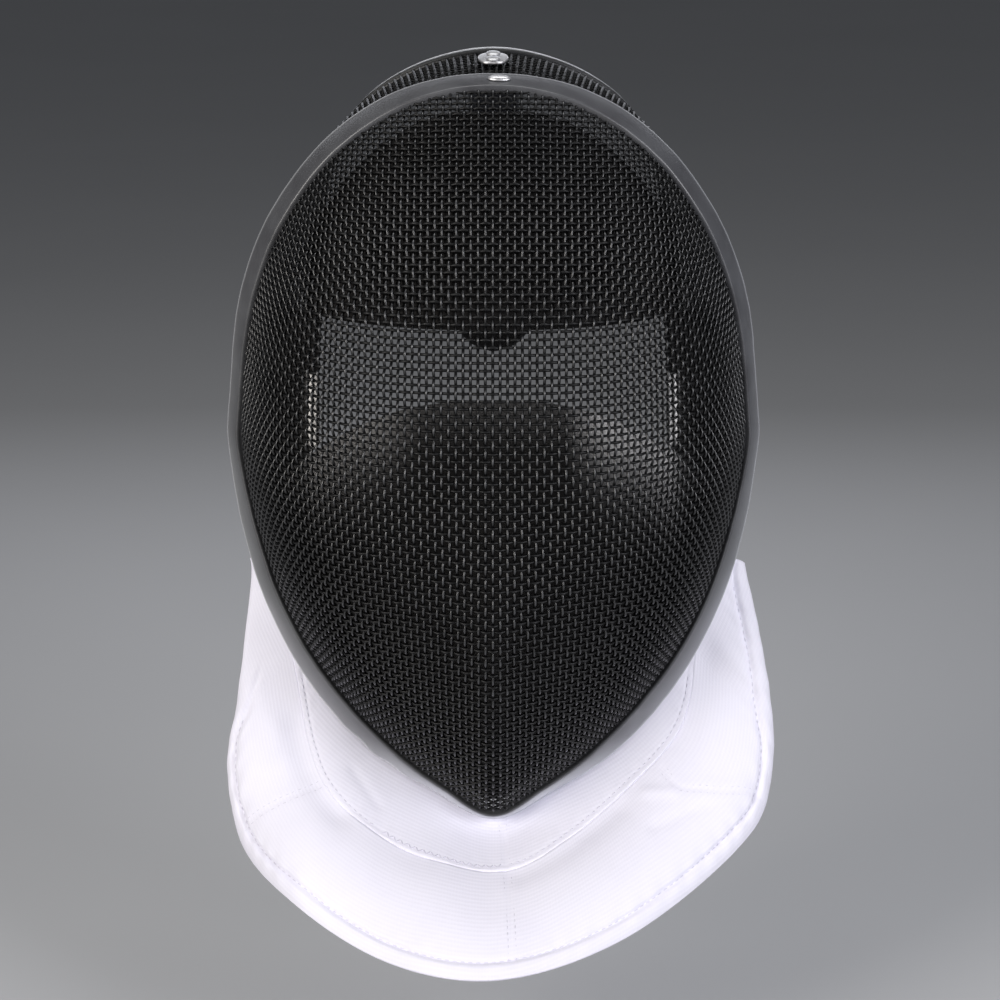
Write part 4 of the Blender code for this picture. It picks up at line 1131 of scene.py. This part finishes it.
def makeSkirt():
    # as the yoke, with a roll of half (hemThick - wall) sin(pi r)^0.6 along the hem
    run = np.linspace(-1, 1, bib["skirtColumns"])
    steps = np.concatenate([
        np.linspace(0, bib["hemFrom"], bib["skirtRows"])[:-1], np.linspace(bib["hemFrom"], 1, bib["hemRows"]),
    ])
    length = np.linalg.norm(bibAt(run, 0 * run + 1) - bibAt(run, 0 * run), axis=-1)
    below = np.where(np.abs(run) <= bib["seamEnd"], bib["yokeTip"], 0.0)
    low = np.maximum(seamShareAt(run), below) + np.sign(below) * 1.5 * trimSizes["gap"] / length
    high = 0 * run + 1
    grid, normals = bibGrid(run, low, high, steps)
    uv = clothMap(grid)
    a, b = uv[..., 0], uv[..., 1]
    toHem = nearestTo(grid, hemAt(np.linspace(-1, 1, 700)))
    toSeam = nearestTo(grid, seamLine())
    relief = bib["skirtSway"] * waves(a, b, 31, 0.11) * np.clip(toHem / 0.03, 0, 1) + foldRelief(grid)
    # the cloth dips where it meets the yoke, then comes up again
    relief = relief - bib["dipDeep"] * bump(toSeam, bib["dip"])
    # the hem: a stitched groove with a puffed roll outside it, gently puckered; the wearer's right end is folded
    rolled = np.clip((run - bib["rollStart"]) / bib["rollEase"], 0, 1)[None]
    pucker = np.sin(a * 620 + 4 * waves(a, 0 * a, 8, 0.09))
    relief = relief - bib["hemGroove"] * rolled * bump(toHem - bib["hemWide"], bib["hemGrooveWide"])
    relief = relief + bib["hemPucker"] * rolled * pucker * bump(toHem - bib["hemWide"], bib["hemPuckerWide"])
    roll = np.clip(1 - toHem / bib["hemWide"], 0, 1)
    puff = (bib["hemThick"] - bib["wall"]) / 2 * np.sin(np.pi * np.clip(roll, 0, 0.92)) ** 0.6 * rolled
    outer = grid + normals * (bib["wall"] / 2 + relief + puff * 1.1)[..., None]
    inner = grid - normals * (bib["wall"] / 2 + puff * 0.6)[..., None]
    piece = shellPiece("bibSkirt", outer, inner, bibCloth, ("bib_skirt",), uv,
                       rounded=bib["roundSkirt"])
    face = gridNormals(outer)
    face *= np.sign(-face[len(steps) // 2, len(run) // 2, 1])
    # the stitches sit in the groove, where the distance to the hem passes the hem's width
    far = toHem[:-1] - bib["hemWide"]
    near = toHem[1:] - bib["hemWide"]
    crossing = (far > 0) & (near <= 0)
    first = np.argmax(crossing, axis=0)
    columns = np.arange(len(run))
    part = far[first, columns] / np.maximum(far[first, columns] - near[first, columns], 1e-9)
    sewn = crossing.any(axis=0) & (run > stitches["hemFrom"]) & (run < stitches["hemTo"])
    row = (first + part)[sewn]
    column = columns[sewn].astype(float)
    rows = [straightStitches(sampleGrid(outer, row, column), unit(sampleGrid(face, row, column)),
                             stitches["hemPitch"], stitches["hemLength"])]
    for index, places in enumerate(bibSeams):
        at = lineOnBib(places, 240)[0]
        at = at[at[:, 1] > (stitches["skirtSeamFrom"] if index == 0 else 0.0)]  # the middle seam's top is the yoke's
        rows += twinStitches(outer, face, run, (low, high), steps, at)
    thread = stitchPiece("skirtStitches", rows)


makeYoke()
makeSkirt()
print("bib made")


# The lining behind the wires

lining = dict(
    padThick=0.006, padSetback=0.0019, thick=0.003, seat=0.0020, setback=0.0080,
    browTop=0.005, browDrop=0.081, browHalf=0.073, browInset=0.008, sideInset=0.007, joint=0.001,
    top=0.111, arch=0.047, archPower=2.6, archClear=0.003, chinInset=0.013, inset=0.009, tip=0.004,
    chinLower=0.0065, chinColumns=111, chinRows=62, sag=0.0009, swell=0.0003, roundPad=0.0012, roundChin=0.0010,
    bindWidth=0.0026, bindEdge=0.0006, bindFrom=0.1045, bindToLeft=0.133, bindToRight=0.139, bindEnd=0.001,
    # these two lines place the painted light on the chin lining, where its pale cloth shows through its painted
    # shade
    paintedLitFrom=0.030, paintedLitEase=0.018, paintedLitTo=0.079, paintedLitEnd=0.004, paintedLitDeep=0.020, paintedLitLeft=0.32,
    rimPaintedLit=0.10, rimPaintedLitDeep=0.012,
)


def behindDome(across, down):
    # the dome at these places, with the way in from it
    x = across
    z = -down - mask["crownBelow"]
    share = domeShare(x, z)
    pull = np.minimum(share, 0.97) / np.maximum(share, 1e-6)
    x = x * pull
    z = noseTip[2] + (z - noseTip[2]) * pull
    front = domePoint(x, z)
    step = 0.0008
    slopeX = domePoint(x + step, z) - domePoint(x - step, z)
    slopeZ = domePoint(x, z + step) - domePoint(x, z - step)
    inward = unit(np.cross(slopeX, slopeZ))
    inward *= np.where(inward[..., 1:2] < 0, -1.0, 1.0)
    return front, inward


def halfWidthAt(down):
    # half the trim's width at this height, from its table
    edge = lookEdge[len(lookEdge) // 2:]
    return np.interp(-down - mask["crownBelow"], edge[::-1, 2], edge[::-1, 0])


def archAt(across):
    # the chin lining's top edge: top + arch * (|x| / widest)^2.6
    widest = halfWidthAt(lining["top"] + lining["arch"]) - lining["inset"]
    return lining["top"] + lining["arch"] * (np.abs(across) / widest) ** lining["archPower"]


def padPanel(name, across, down, setback, thick, material, node, marks=None):
    # a panel behind the dome whose back swells: thick * (0.6 + 0.4 (1 - u^6)(1 - v^6))
    front, inward = behindDome(across, down)
    v = np.linspace(-1, 1, across.shape[0])[:, None]
    u = np.linspace(-1, 1, across.shape[1])[None]
    swell = (1 - u**6) * (1 - v**6)
    uv = clothMap(front)
    relief = lining["swell"] * waves(uv[..., 0], uv[..., 1], 77, 0.03)
    near = front + inward * (setback + 0.25 * thick * (1 - swell))[..., None]
    far = front + inward * (setback + thick * (0.6 + 0.4 * swell) + relief)[..., None]
    piece = shellPiece(name, near, far, material, (node,), uv, rounded=lining["roundPad"], marks=marks)
    return piece


def makeLinings():
    # the pads between the eye window and the trim: inner + (outer - inner) step across
    downs = np.linspace(lining["browTop"], lining["browDrop"], 46)
    widths = np.minimum(halfWidthAt(downs) - lining["browInset"], lining["browHalf"])
    across = widths[:, None] * np.linspace(-1, 1, 80)[None]
    down = downs[:, None] + 0 * across
    padPanel("browPad", across, down, 0 * across + lining["padSetback"], lining["padThick"], darkCloth,
             "forehead_pad", 0 * across)
    top = lining["browDrop"] + lining["joint"]
    inner = lining["browHalf"] - lining["joint"] / 2
    levels = np.linspace(0, 1, 50)[:, None]
    steps = np.linspace(0, 1, 40)[None]
    outer = halfWidthAt(top + (lining["top"] + lining["arch"] - top) * levels) - lining["sideInset"]
    across = inner + (outer - inner) * steps
    down = top + (archAt(across) - lining["archClear"] - top) * levels
    # a pale binding along the lower part of the window edge
    for name, node, side, low in (("cheekPadLeft", "side_pad_left", 1.0, lining["bindToLeft"]),
                                  ("cheekPadRight", "side_pad_right", -1.0, lining["bindToRight"])):
        bound = np.clip((lining["bindWidth"] - (across - inner)) / lining["bindEdge"], 0, 1)
        bound = bound * np.clip((down - lining["bindFrom"]) / lining["bindEnd"], 0, 1)
        bound = bound * np.clip((low - down) / lining["bindEnd"], 0, 1)
        padPanel(name, side * across, down, 0 * across + lining["padSetback"], lining["padThick"], darkCloth,
                 node, bound)
    makeChinLining()


def makeChinLining():
    # from the arch to the chin, setback + inward * swell off the dome, with a slow sag
    sides = np.linspace(-1, 1, lining["chinColumns"])
    steps = np.linspace(0, 1, lining["chinRows"])
    bottom = mask["height"] - lining["chinInset"] + lining["chinLower"]
    top = lining["top"] + lining["arch"]
    widest = halfWidthAt(top) - lining["inset"]
    arch = archAt(widest * sides)
    down = arch[None] + (bottom - arch[None]) * steps[:, None]
    level = top + (bottom - top) * steps
    across = (halfWidthAt(level) - lining["inset"])[:, None] * sides[None]
    limit = np.maximum(halfWidthAt(down) - lining["inset"], lining["tip"])
    across = np.clip(across, -limit, limit)
    inside = (1 - np.abs(sides) ** 4)[None] * (1 - steps**4)[:, None]
    setback = lining["seat"] + (lining["setback"] - lining["seat"]) * inside
    front, inward = behindDome(across, down)
    uv = clothMap(front)
    sag = lining["sag"] * waves(uv[..., 0], uv[..., 1], 51, 0.05) * inside
    near = front + inward * (setback + sag)[..., None]
    far = front + inward * (setback + lining["thick"] + sag)[..., None]
    # painted light and shade: the pale cloth shows near the arch at the cheeks, weaker where x is below 0, with a
    # faint pale band along the whole arch; elsewhere it is painted dark as shade
    low = down - arch[None]
    paintedLit = np.clip((np.abs(across) - lining["paintedLitFrom"]) / lining["paintedLitEase"], 0, 1)
    paintedLit = paintedLit * bump(low, lining["paintedLitDeep"])
    paintedLit = paintedLit * np.clip((lining["paintedLitTo"] - np.abs(across)) / lining["paintedLitEnd"], 0, 1)
    paintedLit = paintedLit * np.where(across > 0, 1.0, lining["paintedLitLeft"])
    paintedLit = paintedLit + lining["rimPaintedLit"] * bump(low, lining["rimPaintedLitDeep"])
    piece = shellPiece("chinLining", near, far, liningCloth, ("chin_lining",), uv,
                       rounded=lining["roundChin"], marks=np.clip(paintedLit, 0, 1))


makeLinings()
print("linings made")


# The tongue behind the head, its fitting on top, and the rivets

tongue = dict(
    width=0.022, thick=0.0014, padWidth=0.046, padThick=0.009,
    bracketWidth=0.0125, bracketLength=0.014, bracketThick=0.0012,
    bracketPlace=0.48, bracketLobe=-0.22, bracketLift=0.0006, bracketRivetHeight=0.0009,
    rivetRadius=0.0030, rivetHeight=0.0016, trimRivetLength=0.0095, trimRivetWidth=0.0050,
    rivetShift=0.27, trimRivetTurn=0.006, trimRivetPlace=0.42, crownRise=1.12,
    places=121, springEnd=111, padStart=63, tipSteps=9, tipLength=8.3, seamPinch=0.035,
)
# back as a share of rear depth, down as a share of height
tongueStations = np.array([
    (1.50, -0.004),
    (1.95, 0.040),
    (2.40, 0.120),
    (2.55, 0.230),
    (2.50, 0.370),
    (2.42, 0.440),
])


def tonguePath(count):
    # three places under the crown's wires, then the table's, as one smooth line
    behind = fromCrown(0 * tongueStations[:, 0], tongueStations[:, 0] * mask["rearDepth"],
                       tongueStations[:, 1] * mask["height"])
    turns = np.linspace(0, 0.3, 31)
    shares = np.array([0.30, 0.62, 1.12])[:, None] + 0 * turns[None]
    over = sideSurface(turns, shares)
    root = over[:, 0].copy()
    root[:, 2] = [np.interp(tongue["width"] / 2, line[:, 0], line[:, 2]) for line in over]
    root[:, 2] -= meshWall / 2 + tongue["thick"] + 2 * trimSizes["gap"]
    root[2, 2] -= piping["thick"] / 2 * tongue["crownRise"] - meshWall / 2 + 2 * trimSizes["gap"]
    points = np.concatenate([root, behind])
    places = smoothTable(chordKnots(points), points, np.linspace(0, 1, count))
    along = unit(np.gradient(places, axis=0))
    across = np.tile(np.array([1.0, 0.0, 0.0]), (count, 1))
    return places, across, unit(np.cross(across, along))


def makeTongue():
    # a flat strip with a round tip, and a cushion whose size is (1 - |s|^3.2)^0.5
    places, across, out = tonguePath(tongue["places"])
    last, first = tongue["springEnd"], tongue["padStart"]
    half, thick = tongue["width"] / 2, tongue["thick"]
    angle = np.linspace(0, 2 * np.pi, 21)[:-1]
    section = np.stack([
        half * np.sign(np.cos(angle)) * np.abs(np.cos(angle)) ** 0.18,
        thick / 2 + thick / 2 * np.sign(np.sin(angle)) * np.abs(np.sin(angle)) ** 0.5,
    ], -1)
    step = np.arange(last) - (last - tongue["tipSteps"])
    taper = np.sqrt(np.clip(1 - (np.maximum(step, 0) / tongue["tipLength"]) ** 2, 0.02, 1))
    section = section[None] * np.stack([taper, 0 * taper + 1], -1)[:, None]
    sweepPiece("tongueSpring", places[:last], across[:last], out[:last], section, springSteel,
               ("tongue_spring",), closed=False)
    share = np.linspace(-1, 1, len(places) - first)
    full = np.sqrt(np.maximum(1 - np.abs(share) ** 3.2, 0.004))
    angle = np.linspace(0, 2 * np.pi, 41)[:-1]
    c, s = np.cos(angle), np.sin(angle)
    wide = tongue["padWidth"] / 2 * np.sign(c) * np.abs(c) ** 0.7
    deep = -0.5 * tongue["padThick"] * (1 + np.sign(s) * np.abs(s) ** 0.8)
    rings = np.stack([
        wide[None] * full[:, None],
        deep[None] * (0.45 + 0.55 * full[:, None]) - trimSizes["gap"],
    ], -1)
    rings[..., 0] *= (1 - tongue["seamPinch"] * bump(np.abs(s), 0.25))[None]
    piece = sweepPiece("tonguePad", places[first:], across[first:], out[first:], rings, darkCloth,
                       ("tongue_pad",), closed=False, uvScale=0.1)


def domedDisc(name, centre, right, along, up, halfRight, halfAlong, height, rings, material, node, lobes=0.0):
    # rings of (size, rise) on an ellipse whose radius swells by 1 + lobes cos 2a, closed at both poles
    angle = np.linspace(0, 2 * np.pi, 49)[:-1]
    swell = 1 + lobes * np.cos(2 * angle)
    rim = right * (halfRight * swell * np.sin(angle))[:, None] + along * (halfAlong * swell * np.cos(angle))[:, None]
    grid = np.stack([centre + rim * size + up * height * rise for size, rise in rings])
    count, sides = grid.shape[:2]
    faceSets = [gridFaces(count, sides, wrapColumns=True), np.arange(sides)[None],
                ((count - 1) * sides + np.arange(sides))[None, ::-1]]
    return buildPiece(name, grid.reshape(-1, 3), faceSets, material, (node,))


def bracketPlace():
    # a place on the crown's middle line, with the ways along it and up from it
    line = sideSurface(np.array([0.0]), np.linspace(0, 1, 41)[:, None])[:, 0]
    middle = sideSurface(np.array([0.0]), np.array([[tongue["bracketPlace"]]]))[0, 0]
    slope = np.interp(middle[1], line[:, 1], np.gradient(line[:, 2], line[:, 1]))
    height = np.interp(middle[1], line[:, 1], line[:, 2]) + meshWall / 2
    along = unit(np.array([0.0, 1.0, slope]))
    up = unit(np.array([0.0, -slope, 1.0]))
    return np.array([0.0, middle[1], height]) + up * tongue["bracketLift"], along, up


def makeFittings():
    # three domed pieces on the crown's middle line, and the oval rivet on the trim
    centre, along, up = bracketPlace()
    right = np.array([1.0, 0.0, 0.0])
    plate = [(0.90, 0.0), (0.97, 0.06), (1.0, 0.25), (1.0, 0.7), (0.975, 0.9), (0.93, 1.0), (0.5, 1.0)]
    lobe = tongue["bracketLobe"]
    domedDisc("tongueFitting", centre, right, along, up, tongue["bracketWidth"] / 2 / (1 - lobe),
              tongue["bracketLength"] / 2 / (1 + lobe), tongue["bracketThick"], plate, platedSteel,
              "tongue_bracket", lobes=lobe)
    head = [(0.94, 0.0), (1.0, 0.12), (0.98, 0.3), (0.9, 0.55), (0.74, 0.78), (0.5, 0.93), (0.2, 1.0)]
    for name, node, shift in (("fittingRivetFront", "bracket_rivet_front", -tongue["rivetShift"]),
                              ("fittingRivetRear", "bracket_rivet_rear", tongue["rivetShift"])):
        place = centre + along * tongue["bracketLength"] * shift + up * (tongue["bracketThick"] + trimSizes["gap"])
        domedDisc(name, place, right, along, up, tongue["rivetRadius"], tongue["rivetRadius"],
                  tongue["bracketRivetHeight"], head, platedSteel, node)
    edge, run, across, out = trimFrame(np.array([tongue["trimRivetTurn"]]))
    place = edge[0] + across[0] * (trimSizes["gap"] + trimSizes["width"] * tongue["trimRivetPlace"])
    place = place + out[0] * (trimSizes["seat"] + trimSizes["thick"] / 2 * tongue["crownRise"] + trimSizes["gap"])
    domedDisc("trimRivet", place, run[0], across[0], out[0], tongue["trimRivetLength"] / 2,
              tongue["trimRivetWidth"] / 2, tongue["rivetHeight"], head, platedSteel, "trim_rivet")


makeTongue()
makeFittings()
print("tongue and fittings made")


# Floor, light and camera

stageSizes = dict(
    floorBelow=0.06, floorHalf=9.0, roomColour="#c9ccd2", roomStrength=0.15,
    elevation=15.0, focalPixels=3038.0, picture=1000, sensor=36.0, crownDepth=1.210, crownRow=92, crownColumn=493,
)
# name, place, target, width and height, watts, colour
lamps = (
    ("keyRight", (-0.90, -1.00, 0.20), (0, -0.05, -0.22), (0.6, 0.7), 14.6, "#fffbf6"),
    ("keyLeft", (0.95, -0.98, 0.20), (0, -0.05, -0.22), (0.6, 0.7), 13.6, "#fafaff"),
    ("topLight", (0.0, 0.10, 0.95), (0, 0, -0.05), (0.9, 0.4), 4.5, "#ffffff"),
    ("backLight", (0.0, 0.95, 0.24), (0, 0, -0.08), (1.0, 0.25), 2.0, "#f4f6ff"),
)


def makeStage():
    # a pale floor under the part and an even, dim room
    low = cadBounds[0][2] - stageSizes["floorBelow"]
    half = stageSizes["floorHalf"]
    mesh = bpy.data.meshes.new("floor")
    corners = [(-half, -half, low), (half, -half, low), (half, half, low), (-half, half, low)]
    mesh.from_pydata(corners, [], [(0, 1, 2, 3)])
    floor = bpy.data.objects.new("floor", mesh)
    floor.data.materials.append(makeFloor())
    bpy.context.scene.collection.objects.link(floor)
    world = bpy.data.worlds.new("softRoom")
    world.use_nodes = True
    room = world.node_tree.nodes["Background"]
    room.inputs["Color"].default_value = toLinear(stageSizes["roomColour"])
    room.inputs["Strength"].default_value = stageSizes["roomStrength"]
    bpy.context.scene.world = world


def addLight(name, place, target, size, power, colour):
    # a soft rectangle of light, turned to its target
    light = bpy.data.lights.new(name, "AREA")
    light.shape = "RECTANGLE"
    light.size, light.size_y = size
    light.energy = power
    light.color = toLinear(colour)[:3]
    lamp = bpy.data.objects.new(name, light)
    lamp.visible_camera = False
    way = np.array(target, float) - np.array(place, float)
    flat = np.hypot(way[0], way[1])
    lamp.location = place
    lamp.rotation_euler = (np.arctan2(flat, -way[2]), 0.0, np.arctan2(-way[0], way[1]))
    bpy.context.scene.collection.objects.link(lamp)


def makeCamera():
    # the crown's wire edge sits at its row and column of the picture, crownDepth metres along the view
    elevation = np.radians(stageSizes["elevation"])
    focal = stageSizes["focalPixels"]
    crown = fromCrown(0.0, 0.0, 0.0)
    depth = stageSizes["crownDepth"]
    middle = stageSizes["picture"] / 2
    rise = (middle - stageSizes["crownRow"]) / focal * depth
    slide = (stageSizes["crownColumn"] - middle) / focal * depth
    forward = np.array([0.0, np.cos(elevation), -np.sin(elevation)])
    up = np.array([0.0, np.sin(elevation), np.cos(elevation)])
    camera = bpy.data.objects.new("camera", bpy.data.cameras.new("camera"))
    camera.data.sensor_width = stageSizes["sensor"]
    camera.data.lens = focal / stageSizes["picture"] * stageSizes["sensor"]
    camera.location = crown - forward * depth - up * rise - np.array([slide, 0.0, 0.0])
    camera.rotation_euler = (np.pi / 2 - elevation, 0.0, 0.0)
    bpy.context.scene.collection.objects.link(camera)
    bpy.context.scene.camera = camera


makeStage()
for row in lamps:
    addLight(*row)
makeCamera()
bpy.context.scene.view_settings.view_transform = "Standard"
print("stage, lights and camera made")
